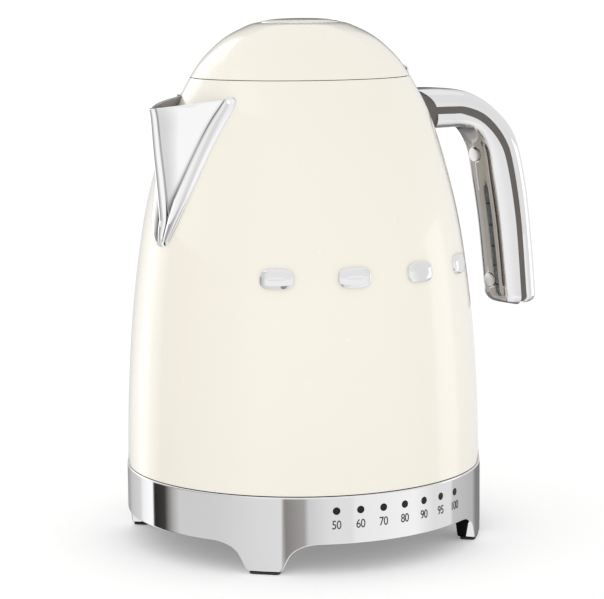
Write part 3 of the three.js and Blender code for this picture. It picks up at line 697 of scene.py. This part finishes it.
def sweepHalf(name, rootLine, farLine, section, endRound, count=240, startCurve=0.0):
    # a section given as (across, depth) pairs is carried along the handle: depth 0 lies on
    # the root line and the full depth on the far line, both in the x-z plane; past the last
    # station the section shrinks round the end by a quarter circle
    root, farther = spline(rootLine, count), spline(farLine, count)
    reach = farther - root
    depth = np.linalg.norm(reach, axis=1)
    normal = reach / depth[:, None]
    axis = root[-1] - root[-2]
    axis = axis / np.linalg.norm(axis)
    turn = np.linspace(0, math.pi / 2, 10)[1:]
    shrink = endRound * (1 - np.cos(turn))
    root = np.vstack([root, root[-1] + np.outer(endRound * np.sin(turn), axis)])
    depth = np.r_[depth, depth[-1] - shrink][:, None]
    normal = np.vstack([normal, np.repeat(normal[-1:], len(turn), 0)])
    width = (handleShape["halfWidth"] - np.r_[np.zeros(count), shrink])[:, None]
    station = np.r_[np.linspace(0, 1, count), np.ones(len(turn))][:, None]
    across, deep, inward = section(station, depth, width)
    x = root[:, None, 0] + normal[:, None, 0] * deep
    x = x + startCurve * np.sin(math.pi * np.clip(deep / depth, 0, 1)) * np.exp(-station / 0.03)
    z = root[:, None, 1] + normal[:, None, 1] * deep
    grid = np.stack([x, across + 0 * x, z], -1)
    # the sections' third output is painted shade for the plating's colour, kept per point
    shade = np.concatenate([inward[:1], inward + 0 * x, inward[-1:]])
    return surface(name, closedEnds(grid), wrapColumns=True, sharpAngle=50, shade=shade)


def withFoot(across, deep, width, inward):
    # closes a half section along the strip, with its edges broken by half a millimetre
    across = np.concatenate([width - 0.5, across, -width + 0.5], 1)
    deep, inward = [np.concatenate([0 * width, line, 0 * width], 1) for line in (deep, inward)]
    return across, deep, inward


def backSection(station, depth, width):
    # a rounded half: a superellipse from one side of the strip over the back to the other
    angle = np.linspace(0, math.pi, 61)[None, :]
    power = handleShape["backPower"]
    across = width * squared(np.cos(angle), power)
    deep = 0.5 + (depth - 0.5) * squared(np.sin(angle), power)
    return withFoot(across, deep, width, 0 * across)


def palmSection(station, depth, width):
    # the palm half: a fuller superellipse with a ridge down the middle and a finger flute
    # along each rounded corner, which fades out at both ends
    angle = np.linspace(0, math.pi, 181)[None, :]
    c, s = np.cos(angle), np.sin(angle)
    across = width * squared(c, handleShape["palmPower"])
    deep = 0.5 + (depth - 0.5) * squared(s, handleShape["palmPower"])
    face = eased((np.abs(s) - 0.5) / 0.35)
    started = eased((station - 0.24) / 0.12)
    deep = deep - 1.9 * started * np.clip(np.abs(across) / 7.0, 0, 1) * face
    fade = eased((station - 0.31) / 0.04) * eased((0.975 - station) / 0.025)
    groove = np.exp(-np.abs((np.abs(c) - 0.60) / 0.085) ** 3)
    flute = 1.7 * np.sqrt(fade) * groove
    across = across - np.sign(c) * flute * 0.6
    deep = deep - flute * 0.8
    # painted shade: the plating's colour is darkened over the palm face, which faces the jug, and along the
    # finger flutes
    shaded = eased((station - 0.10) / 0.14)
    inward = np.clip(0.85 * face * shaded + 0.5 * fade * groove, 0, 1)
    return withFoot(across, deep, width, inward)


def coreSection(station, depth, width):
    side = width - 0.35
    one = np.ones_like(depth)
    across = np.concatenate([-side, side, side, -side], 1)
    deep = np.concatenate([-0.25 * one, -0.25 * one, depth + 0.25, depth + 0.25], 1)
    return across, deep, 0 * deep


def makeHandle():
    shape = handleShape
    outer = sweepHalf("handle_back", shape["stripOuter"], shape["back"], backSection, 4.2, startCurve=1.8)
    keep(outer, "jug", "chrome", chrome, "handle_outer_shell")
    inner = sweepHalf("handle_palm", shape["stripInner"], shape["palm"], palmSection, 5.0)
    cut(inner, [drill(4.1, -5, 1.6, 64, shape["screwWay"], place) for place in shape["screws"].values()])
    keep(inner, "jug", "chrome", palmChrome, "handle_inner_shell")
    core = sweepHalf("handle_strip", shape["stripInner"], shape["stripOuter"], coreSection, 3.6)
    keep(core, "jug", "grey_plastic", greyPlastic, "handle_core")
    for end, place in shape["screws"].items():
        cap = rounded("palm_cap_" + end, shape["screwCap"], 0.3, 64, shape["screwWay"], place)
        keep(cap, "jug", "chrome", capChrome, "screw_cap_" + end)


neckShape = {"start": 48, "end": 62.6, "middle": 202.6, "halfHeight": 9.75, "top": 212.6, "flare": 1.5,
             "power": 2 / 3.1}


def makeCollar():
    # a grey plastic neck carried along x between jug and handle: a rounded rectangle that
    # flares towards the jug as an exponential
    shape = neckShape
    share = np.linspace(0, 1, 60)[:, None]
    flare = shape["flare"] * np.exp(-np.clip(share * 26 - 12, 0, None) / 4.0)
    angle = fullTurn(120)[None, :]
    y = (handleShape["halfWidth"] - 0.4 + flare) * squared(np.cos(angle), shape["power"])
    up = (shape["halfHeight"] + flare * 0.6) * squared(np.sin(angle), shape["power"])
    z = np.minimum(shape["middle"] - 0.25 * flare + up, shape["top"])
    # its far end leans back under the handle's start, bowed as a sine
    drop = np.clip((212.9 - z) / 9.7, 0, 1)
    end = shape["end"] + 11 * drop + 1.8 * np.sin(math.pi * drop)
    grid = np.stack([shape["start"] + (end - shape["start"]) * share, y, z], -1)
    obj = surface("handle_neck", closedEnds(grid), wrapColumns=True, sharpAngle=50)
    jugZ = np.linspace(150, 220, 30)
    jugSide = np.stack([jugRadius(jugZ) + 0.05, jugZ], -1)
    cut(obj, [turned("jug_core", np.vstack([[[0, 150]], jugSide, [[0, 220]]]), 160)])
    keep(obj, "jug", "grey_plastic", greyPlastic, "handle_collar")


makeHandle()
makeCollar()
print("handle made")

badgeShape = {"count": 4, "middle": -92.1, "step": 25.75, "height": 134.0, "halfWidth": 7.6,
              "halfHeight": 4.6, "edge": 0.8, "rise": 1.9}


def makeBadge():
    # each stud is a low dome over a rounded lozenge: the height above the jug is a
    # flattened quarter circle of the distance in from the lozenge's edge
    shape = badgeShape
    turn = fullTurn(96)[None, :]
    across = squared(np.cos(turn), 0.62) * shape["halfWidth"]
    up = squared(np.sin(turn), 0.62) * shape["halfHeight"]
    inside = np.linspace(0, 1, 24)[1:]
    inward = np.concatenate([[0, 0], 3.9 * inside ** 1.6])[:, None]
    dome = shape["edge"] + (shape["rise"] - shape["edge"]) * np.sin(inside ** 1.2 * math.pi / 2) ** 0.8
    height = np.concatenate([[-0.5, shape["edge"]], dome])[:, None]
    scaleX, scaleY = [(shape[key] - inward) / shape[key] for key in ("halfWidth", "halfHeight")]
    for index in range(shape["count"]):
        centre = math.radians(shape["middle"] + (index - (shape["count"] - 1) / 2) * shape["step"])
        angle = centre + across * scaleX / jugRadius(shape["height"])
        grid = closedEnds(jugPoint(angle, shape["height"] + up * scaleY, height))
        stud = surface(f"front_stud_{index + 1}", grid, wrapColumns=True, sharpAngle=50)
        keep(stud, "jug", "chrome", chrome, f"badge_stud_{index + 1}")


makeBadge()
print("badge made")

baseShape = {
    "radius": 85.5,
    "innerRadius": 82.9,
    "legRadius": 77.0,
    "footBottom": 1.5,
    "archTop": 14.0,
    "wallTop": 34.6,
    "top": 36.1,
    "footHalf": 7.4,
    "panelStep": 7.55,
    "panelHeight": 29.5,
    "lens": [[0, 0.12], [1.2, 0.06], [1.6, -0.2], [1.6, -5], [0, -5]],
    "lensHole": 1.75,
    "keyStep": 11.0,
    "keyHeight": 25.0,
    "key": [[0, 0.55], [3.2, 0.6], [4.8, 0.8], [4.8, -4.6], [6.2, -4.6], [6.2, -6], [0, -6]],
    "keyHole": 5.1,
    "glandHeight": 23,
    "gland": [[0, -6.6], [5.5, -6.6], [5.5, -0.1], [3.5, -0.1], [3.5, -4.4], [0, -4.4]],
    "glandHole": 5.8,
    "labels": ["50", "60", "70", "80", "90", "95", "100"],
    "labelHeight": 22.9,
    "labelSize": 5.7,
    "labelWidth": 0.84,
}


def footEdge():
    # half of one foot's outline, from its middle to the arch beside it, as (along, height):
    # flat sole, small round, steep side, wide shoulder
    half, sole, arch = [baseShape[key] for key in ("footHalf", "footBottom", "archTop")]
    flat = filleted([(0, sole), (half + 1.0, sole), (half + 4.6, 8.6)], 2.6, steps=8, support=0.3)[:-1]
    start, middle, end = np.array([[half + 3.9, 7.2], [half + 6.9, 13.4], [half + 17.5, arch]])
    return np.vstack([flat, parabola(start, middle, end, 26)])


def lowerOutline():
    # the band's lower edge as (angle, height): four times a foot with half an arch on each side
    half = footEdge()
    side = np.stack([half[:, 0] / baseShape["radius"], half[:, 1]], -1)
    spare = np.linspace(side[-1, 0], np.radians(45), 16)[1:]
    side = np.vstack([side, np.stack([spare, np.full(len(spare), baseShape["archTop"])], -1)])
    one = np.vstack([side[:0:-1] * (-1, 1), side])[:-1]
    return np.vstack([one + (np.radians(45 + 90 * k), 0) for k in range(4)])


def makeBand():
    # at each point of the lower outline the wall's section is carried up, and the rounded
    # lower edge follows the outline's own normal
    shape = baseShape
    outer, inner, leg, top = shape["radius"], shape["innerRadius"], shape["legRadius"], shape["top"]
    ring = lowerOutline()
    flatAlong = ring[:, 0] * outer
    around = 2 * math.pi * outer
    closedAlong = np.r_[flatAlong[-1] - around, flatAlong, flatAlong[0] + around]
    closedZ = np.r_[ring[-1, 1], ring[:, 1], ring[0, 1]]
    tangent = np.stack([closedAlong[2:] - closedAlong[:-2], closedZ[2:] - closedZ[:-2]], -1)
    tangent /= np.linalg.norm(tangent, axis=1)[:, None]
    normal = np.stack([-tangent[:, 1], tangent[:, 0]], -1)
    lower = filleted([(leg, 3.0), (leg, 0.0), (outer, 0.0), (outer, 3.0)], 0.7)[1:-1]
    upper = [(outer, 20), (outer, top), (inner, top), (inner, 16.2), (inner, 15.6), (leg, 15.6), (leg, 15.2)]
    upper = filleted(upper, 0.55)[1:-1]
    lowerAlong = flatAlong[:, None] + normal[:, :1] * lower[None, :, 1]
    lowerZ = ring[:, 1:] + normal[:, 1:] * lower[None, :, 1]
    heights = np.linspace(0, 1, 9)[None, 1:]
    wallZ = lowerZ[:, -1:] + (shape["wallTop"] - lowerZ[:, -1:]) * heights
    wallAlong = lowerAlong[:, -1:] + (flatAlong[:, None] - lowerAlong[:, -1:]) * heights
    sectionRadius = np.concatenate([lower[:, 0], np.full(heights.size, outer), upper[:, 0]])
    along = np.concatenate([lowerAlong, wallAlong, np.repeat(flatAlong[:, None], len(upper), 1)], 1) / outer
    z = np.concatenate([lowerZ, wallZ, np.repeat(upper[None, :, 1], len(ring), 0)], 1)
    grid = polar(sectionRadius[None, :], along, z)
    band = surface("base_ring", grid, wrapRows=True, wrapColumns=True, sharpAngle=40)
    openings = [(shape["lensHole"], where) for where in panelPlaces()]
    openings += [(shape["keyHole"], where) for where in keyPlaces()] + [(shape["glandHole"], glandPlace())]
    cut(band, [asOne("holes", [drill(radius, -7, 3, 48, *where) for radius, where in openings])])
    keep(band, "base", "chrome", chrome, "base_band")


def ringPlace(degrees, height):
    # the outward direction and the place on the band's face
    out = polar(1, math.radians(degrees), 0)
    return out, out * baseShape["radius"] + (0, 0, height)


def panelAngles():
    count = len(baseShape["labels"])
    return [-90 + (i - (count - 1) / 2) * baseShape["panelStep"] for i in range(count)]


def panelPlaces():
    return [ringPlace(degrees, baseShape["panelHeight"]) for degrees in panelAngles()]


def keyPlaces():
    return [ringPlace(k * baseShape["keyStep"], baseShape["keyHeight"]) for k in (1, 0, -1)]


def glandPlace():
    return ringPlace(90, baseShape["glandHeight"])


def makePanel():
    for index, where in enumerate(panelPlaces()):
        lens = rounded(f"status_light_{index + 1}", baseShape["lens"], 0.25, 48, *where)
        keep(lens, "base", "light_lens", lensBlack, f"light_lens_{index + 1}")


def makeNumber(label, degrees):
    # a flat text laid round the ring, just proud of the plating
    curve = bpy.data.curves.new("number", "FONT")
    curve.body = label
    curve.size = baseShape["labelSize"]
    curve.align_x = "CENTER"
    curve.align_y = "CENTER"
    curve.extrude = 0.05
    curve.offset = 0.035
    curve.space_character = 0.92
    curve.resolution_u = 4
    text = addObject("number", curve)
    mesh = applied(text)
    bpy.data.objects.remove(text)
    points = np.zeros(len(mesh.vertices) * 3)
    mesh.vertices.foreach_get("co", points)
    x, y, depth = points.reshape(-1, 3).T
    angle = math.radians(degrees) + x * baseShape["labelWidth"] / baseShape["radius"]
    points = toFrame(polar(baseShape["radius"] + 0.02 + depth, angle, baseShape["labelHeight"] + y))
    mesh.vertices.foreach_set("co", points.ravel())
    return addObject("number", mesh)


def makeNumbers():
    made = [makeNumber(label, degrees) for label, degrees in zip(baseShape["labels"], panelAngles())]
    keep(finishMesh(asOne("temperature_numbers", made)), "base", "light_lens", ink)


def makeKeys():
    for name, where in zip(("start_key", "temperature_key", "keep_warm_key"), keyPlaces()):
        keep(rounded(name + "_cap", baseShape["key"], 0.45, 64, *where), name, "chrome", chrome, name)


undersideShape = {
    "deck": [[18, 31.5], [82.6, 31.5], [82.6, 34.8], [80.6, 34.8], [79.6, 34], [24, 34], [22, 33.2],
             [18, 33.2]],
    "connector": [[0, 28], [22, 28], [22, 31.1], [17.4, 31.1], [17.4, 41], [14.2, 41], [14.2, 33],
                  [5.5, 33], [5.5, 42], [0, 42]],
    "cover": [[0, 13.2], [76.7, 13.2], [76.7, 15.4], [0, 15.4]],
    "screwCircle": 66,
    "well": (4.1, 12, 14.4),
    "screw": [[0, 13.0], [0.9, 13.0], [0.9, 12.5], [3.2, 12.6], [3.8, 13.3], [3.8, 14.1], [1.6, 14.1],
              [1.6, 22], [0, 22.8]],
    "pad": (7.1, 77.7, 84.9, 2.0),
    "padEdge": [(0.35, 0.0), (0.1, 0.12), (0.0, 0.35), (0.0, 1.2)],  # inset and height
}


def makeBaseFittings():
    shape = undersideShape
    gland = rounded("cord_outlet", baseShape["gland"], 0.4, 64, *glandPlace())
    keep(gland, "base", "dark_plastic", darkPlastic, "cord_gland")
    keep(rounded("base_deck", shape["deck"], 0.4), "base", "grey_plastic", greyPlastic, "base_top_plate")
    connector = rounded("power_connector", shape["connector"], 0.6, 96)
    keep(connector, "base", "dark_plastic", darkPlastic, "base_connector")
    cover = rounded("base_cover", shape["cover"], 0.4)
    wells = []
    for index in range(4):
        place = polar(shape["screwCircle"], math.radians(45 + 90 * index), 0)
        wells.append(drill(*shape["well"], 40, place=place))
        screw = rounded(f"cover_screw_{index + 1}", shape["screw"], 0.2, 40, place=place)
        keep(screw, "base", "plain_steel", plainSteel, f"base_screw_{index + 1}")
    keep(cut(cover, [asOne("wells", wells)]), "base", "dark_plastic", darkPlastic, "base_bottom_cover")


def makePads():
    # each pad is its outline at a few heights, drawn in towards its middle at the sole
    pad = roundedOutline(*undersideShape["pad"])
    middle = pad.mean(0)
    inset, height = np.array(undersideShape["padEdge"]).T[:, :, None, None]
    flat = middle + (pad - middle) * (1 - inset / 3.2)
    grid = closedEnds(np.concatenate([flat, height + 0 * flat[:, :, :1]], -1))
    for index in range(4):
        spin = np.array(Matrix.Rotation(math.radians(90 * index - 45), 3, "Z"))
        foot = surface(f"rubber_foot_{index + 1}", grid @ spin.T, wrapColumns=True)
        keep(foot, "base", "rubber", rubber, f"foot_pad_{index + 1}")


makeBand()
makePanel()
makeNumbers()
makeKeys()
makeBaseFittings()
makePads()
print("base made")

insideShape = {
    "collar": (46.6, 208.2, 219.9),  # bore, bottom and top
    "floor": [[0, 55], [82.7, 55], [82.7, 59.5], [81.5, 59.5], [80.9, 56.5], [0, 56.5]],
    "probe": [[0, 50], [5.5, 50], [5.5, 54.6], [3, 54.6], [3, 60.2], [1.6, 61.2], [0, 61.3]],
    "probePlace": (0, 68, 0),
    "cover": [[21, 37], [82.6, 37], [83, 37.6], [83, 41], [80, 41], [79, 39.2], [21, 39.2]],
    "socket": [[0, 44], [7, 44], [7, 37], [13.5, 37], [13.5, 44], [18.2, 44], [18.2, 36.2], [20.6, 36.2],
               [20.6, 46.4], [0, 46.4]],
    "spreader": [[0, 50.9], [58, 50.9], [58, 54.7], [0, 54.7]],
}


def makeMouth():
    # a ring whose outside follows the jug's inner wall, 0.6 mm clear of it
    bore, low, high = insideShape["collar"]
    z = np.linspace(low, high, 14)
    outside = np.stack([jugRadius(z) - jugShape["wall"] - 0.6, z], -1)
    foot = filleted([[bore, high - 1], [bore, low], outside[1]], 0.6)[1:-1]
    outline = np.vstack([foot, outside[2:], [[bore + 0.8, high], [bore + 0.2, high - 0.3]]])
    keep(turned("mouth_ring", outline, 160), "jug", "brushed_steel", steel, "mouth_collar")


def makeInside():
    shape = insideShape
    floor = rounded("jug_floor", shape["floor"], 0.5, 160)
    cut(floor, [drill(3.3, 50, 60, 40, place=shape["probePlace"])])
    keep(floor, "jug", "brushed_steel", steel, "vessel_floor")
    probe = rounded("water_probe", shape["probe"], 0.4, 48, place=shape["probePlace"])
    keep(probe, "jug", "plain_steel", plainSteel, "temperature_sensor")
    under = rounded("jug_underside", shape["cover"], 0.4, 160)
    keep(under, "jug", "dark_plastic", darkPlastic, "jug_bottom_cover")
    socket = rounded("jug_connector", shape["socket"], 0.4, 96)
    keep(socket, "jug", "dark_plastic", darkPlastic, "connector_socket")
    keep(rounded("heat_spreader", shape["spreader"], 0.5), "jug", "aluminium", aluminium, "heat_plate")


def windowStrip(name, outline, low, high):
    # a strip that follows the jug: its outline, given as (sideways, height), is laid on the
    # jug at two depths, and filled across by shrinking it towards its middle line
    bottom = windowShape["low"] + windowShape["halfWidth"]
    top = windowShape["high"] - windowShape["halfWidth"]
    middle = np.stack([0 * outline[:, 0], np.clip(outline[:, 1], bottom, top)], -1)
    share = np.linspace(0, 1, 6)[:, None, None]
    rings = outline[None] * (1 - share) + middle[None] * share
    y, z = rings[..., 0], rings[..., 1]
    layers = [jugPoint(np.arcsin(y / jugRadius(z)), z, height) for height in (high, low)]
    return surface(name, np.concatenate([layers[0][::-1], layers[1]]), wrapColumns=True)


def makeWindow():
    shape = windowShape
    pane = windowStrip("gauge_window", windowOutline(-shape["play"], 3.8), -1.5, 0.0)
    keep(pane, "jug", "window_clear", clearWindow, "water_window")
    # the rim's section, as (share of the way outwards, height), is carried round the pane
    section = [(0, -0.3), (0, 0.7), (0.12, 1.15), (0.3, 1.3), (0.7, 1.3), (0.88, 1.15), (1, 0.7), (1, -0.3)]
    share, height = np.array(section).T[:, :, None]
    inner, outer = windowOutline(), windowOutline(shape["rim"], shape["rimCorner"])
    y, z = [inner[None, :, k] + (outer - inner)[None, :, k] * share for k in (0, 1)]
    grid = jugPoint(np.arcsin(y / jugRadius(z)), z, height + 0 * y)
    rim = surface("gauge_bezel", grid, wrapRows=True, wrapColumns=True)
    keep(rim, "jug", "chrome", chrome, "window_bezel")


hingeShape = {"place": (55.0, 0, 222.5), "reach": 8.6, "pinRadius": 0.9}


def makeHinge():
    reach, radius = hingeShape["reach"], hingeShape["pinRadius"]
    outline = [[0, -reach], [radius, -reach], [radius, reach], [0, reach]]
    pin = rounded("lid_pin", outline, 0.2, 32, (0, 1, 0), hingeShape["place"])
    keep(pin, "jug", "plain_steel", plainSteel, "hinge_pin")


makeMouth()
makeInside()
makeWindow()
makeHinge()
print("inside made")

carried = {
    "heating_element": plainSteel,
    "light_board": boardGreen,
    "key_board": boardGreen,
    "handle_screw_top": plainSteel,
    "handle_screw_bottom": plainSteel,
    "lid_button_spring": plainSteel,
    "lid_latch": greyPlastic,
    "filter_frame": greyPlastic,
    "filter_mesh": steel,
    "hinge_bracket": chrome,
    "lid_hinge_leaf": chrome,
}
for nodeName, material in carried.items():
    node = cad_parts[nodeName]
    node.data.materials.clear()
    node.data.materials.append(material)
print("carried-over parts finished")

studio = {
    "cameraDistance": 1.0488,
    "cameraHeight": 0.2681,
    "cameraAzimuth": -32.5,
    "pitch": 8.39,
    "roll": 0.56,
    "lens": 131.13,
    "world": 0.97,
    "floorGlow": 0.26,
    "boxAzimuth": -70,
    "boxElevation": 30,
    "boxDistance": 1.8,
    "boxSize": 1.4,
    "boxPower": 1.6,
    "boxAim": 0.13,
    "ringRadius": 0.8,
    "ringStrength": 1.25,
    # azimuth in degrees from the camera's side, tone, warmth
    "lowTones": [(-180, 0.2, 1.0), (-152, 0.35, 1.0), (-144, 0.50, 1.0), (-127, 0.62, 1.0),
                 (-123, 0.82, 1.0), (-115, 0.92, 1.0), (-109, 0.94, 1.0), (-108.2, 0.02, 0.9),
                 (-96.3, 0.045, 0.92), (-88.6, 0.40, 0.97), (-82.8, 0.58, 1.0), (-55, 0.59, 1.0),
                 (-13.3, 0.69, 1.0), (-12, 0.215, 0.95), (1, 0.34, 0.97), (1.8, 0.56, 1.0), (16, 0.70, 1.0),
                 (28.4, 0.70, 1.0), (31.3, 0.78, 1.0), (71.3, 0.86, 1.0), (87.6, 0.70, 1.0),
                 (105, 0.71, 1.0), (106.5, 0.52, 1.0), (136, 0.42, 1.0), (144, 0.2, 1.0), (180, 0.15, 1.0)],
    "highTones": [(-180, 0.05, 1.0), (-173, 0.1, 1.0), (-167, 0.55, 1.0), (-150, 0.6, 1.0),
                  (-131, 0.9, 1.0), (-128, 1.35, 1.0), (-119, 1.35, 1.0), (-114, 0.95, 1.0),
                  (-107, 0.75, 1.0), (-101, 0.35, 0.97), (-84, 0.3, 0.97), (-69, 0.4, 1.0), (-44, 0.6, 1.0),
                  (-27, 0.82, 1.0), (42, 0.82, 1.0), (59, 0.8, 1.0), (82, 0.7, 1.0), (91, 0.7, 1.0),
                  (96, 1.15, 1.0), (112, 1.1, 1.0), (117, 0.75, 1.0), (143, 0.7, 1.0), (165, 0.7, 1.0),
                  (172, 0.1, 1.0), (180, 0.05, 1.0)],
    "upperTones": [(-180, 0.1, 1.0), (-171, 0.15, 1.0), (-164, 0.5, 1.0), (-158, 0.55, 1.0),
                   (-150, 1.35, 1.0), (-131, 1.35, 1.0), (-124, 0.9, 1.0), (-109, 0.9, 1.0),
                   (-103, 0.8, 0.99), (-84, 0.75, 0.99), (-69, 0.6, 1.0), (-44, 0.6, 1.0), (-27, 0.75, 1.0),
                   (42, 0.75, 1.0), (82, 0.7, 1.0), (120, 0.72, 1.0), (143, 0.7, 1.0), (160, 0.65, 1.0),
                   (170, 0.12, 1.0), (180, 0.08, 1.0)],
}


def viewPlace(azimuth, distance, height):
    # a place round the jug in metres: azimuth in degrees from the front, positive to its right
    a = math.radians(azimuth)
    return Vector((axisX * mm + distance * math.sin(a), -distance * math.cos(a), height))


def makeCamera():
    data = bpy.data.cameras.new("camera")
    data.lens = studio["lens"]
    data.sensor_width = 36
    camera = addObject("camera", data)
    azimuth = studio["cameraAzimuth"]
    place = viewPlace(azimuth, studio["cameraDistance"], studio["cameraHeight"])
    turn = Matrix.Rotation(math.radians(azimuth), 3, "Z")
    turn = turn @ Matrix.Rotation(math.radians(90 - studio["pitch"]), 3, "X")
    turn = turn @ Matrix.Rotation(math.radians(-studio["roll"]), 3, "Z")
    camera.matrix_world = Matrix.Translation(place) @ turn.to_4x4()
    bpy.context.scene.camera = camera


def makeKeyBox():
    data = bpy.data.lights.new("key_box", "AREA")
    data.shape = "RECTANGLE"
    data.size = data.size_y = studio["boxSize"]
    data.energy = studio["boxPower"]
    box = addObject("key_box", data)
    elevation, distance = math.radians(studio["boxElevation"]), studio["boxDistance"]
    box.location = viewPlace(studio["cameraAzimuth"] + studio["boxAzimuth"], distance * math.cos(elevation),
                             studio["boxAim"] + distance * math.sin(elevation))
    towards = Vector((axisX * mm, 0, studio["boxAim"])) - box.location
    box.rotation_euler = towards.to_track_quat("-Z", "Y").to_euler()
    box.visible_camera = False


def hideFrom(obj, *rays):
    for kind in rays:
        setattr(obj, "visible_" + kind, False)


def reflectionRing(name, lowest, highest, tones):
    # a ring of card that only mirror-like finishes see: its tone changes with the azimuth,
    # in degrees from the camera's side, between the given stops
    a = fullTurn(128)
    radius = studio["ringRadius"]
    rows = [polar(radius, a, radius * math.tan(math.radians(e))) for e in (lowest, highest)]
    ring = meshObject(name, np.concatenate(rows), gridFaces(2, len(a), False, True))
    ring.location = (axisX * mm, 0, 0.06)
    ring.rotation_euler = (0, 0, math.radians(studio["cameraAzimuth"]))
    look = Finish(name)
    where = look.node("TexCoord", output=3)
    x, y = [look.node("SeparateXYZ", None, {0: where}, output) for output in (0, 1)]
    turn = x.calc("ARCTAN2", x, -y) * (1 / (2 * math.pi)) + 0.5
    stops = [((degrees + 180) / 360, (tone, tone * warm, tone * warm ** 2)) for degrees, tone, warm in tones]
    look.set(Base_Color=(0, 0, 0, 1), Roughness=1.0, Specular_IOR_Level=0.0,
             Emission_Color=look.node("ValToRGB", {"stops": stops}, {0: turn}),
             Emission_Strength=studio["ringStrength"])
    ring.data.materials.append(look.material)
    hideFrom(ring, "camera", "diffuse", "shadow", "transmission")


def makeFloor():
    size = 40
    corners = np.array([(-size, -size, 0), (size, -size, 0), (size, size, 0), (-size, size, 0)])
    floor = meshObject("floor", corners, [(0, 1, 2, 3)])
    pale = Finish("pale_floor")
    pale.set(Base_Color=pale.mix(pale.noise(3, 2), (0.80, 0.80, 0.80), (0.81, 0.81, 0.81)), Roughness=0.9,
             Specular_IOR_Level=0.0, Emission_Color=(1, 1, 1, 1), Emission_Strength=studio["floorGlow"])
    floor.data.materials.append(pale.material)
    hideFrom(floor, "glossy")


def makePaintedShadowCard():
    # a dark disc under the base, seen only in reflections: painted shadow that stands in for the shaded floor
    # beneath the base
    a = fullTurn(64)
    card = meshObject("painted_shadow_card", toFrame(polar(81, a, 0.4)), [list(range(len(a)))])
    dark = Finish("painted_shadow_card")
    dark.set(Base_Color=(0.02, 0.02, 0.02, 1), Roughness=1.0, Specular_IOR_Level=0.0)
    card.data.materials.append(dark.material)
    hideFrom(card, "camera", "diffuse", "shadow")


def makeStudio():
    makeFloor()
    world = bpy.data.worlds.new("studio")
    bpy.context.scene.world = world
    world.use_nodes = True
    background = world.node_tree.nodes["Background"]
    background.inputs[0].default_value = (1, 1, 1, 1)
    background.inputs[1].default_value = studio["world"]
    makeKeyBox()
    makePaintedShadowCard()
    reflectionRing("low_ring", -60, -13.4, studio["lowTones"])
    reflectionRing("high_ring", -13.4, 12, studio["highTones"])
    reflectionRing("upper_ring", 12, 45, studio["upperTones"])


makeCamera()
makeStudio()
bpy.context.scene.view_settings.view_transform = "Standard"
print("studio ready")

bpy.context.view_layer.update()
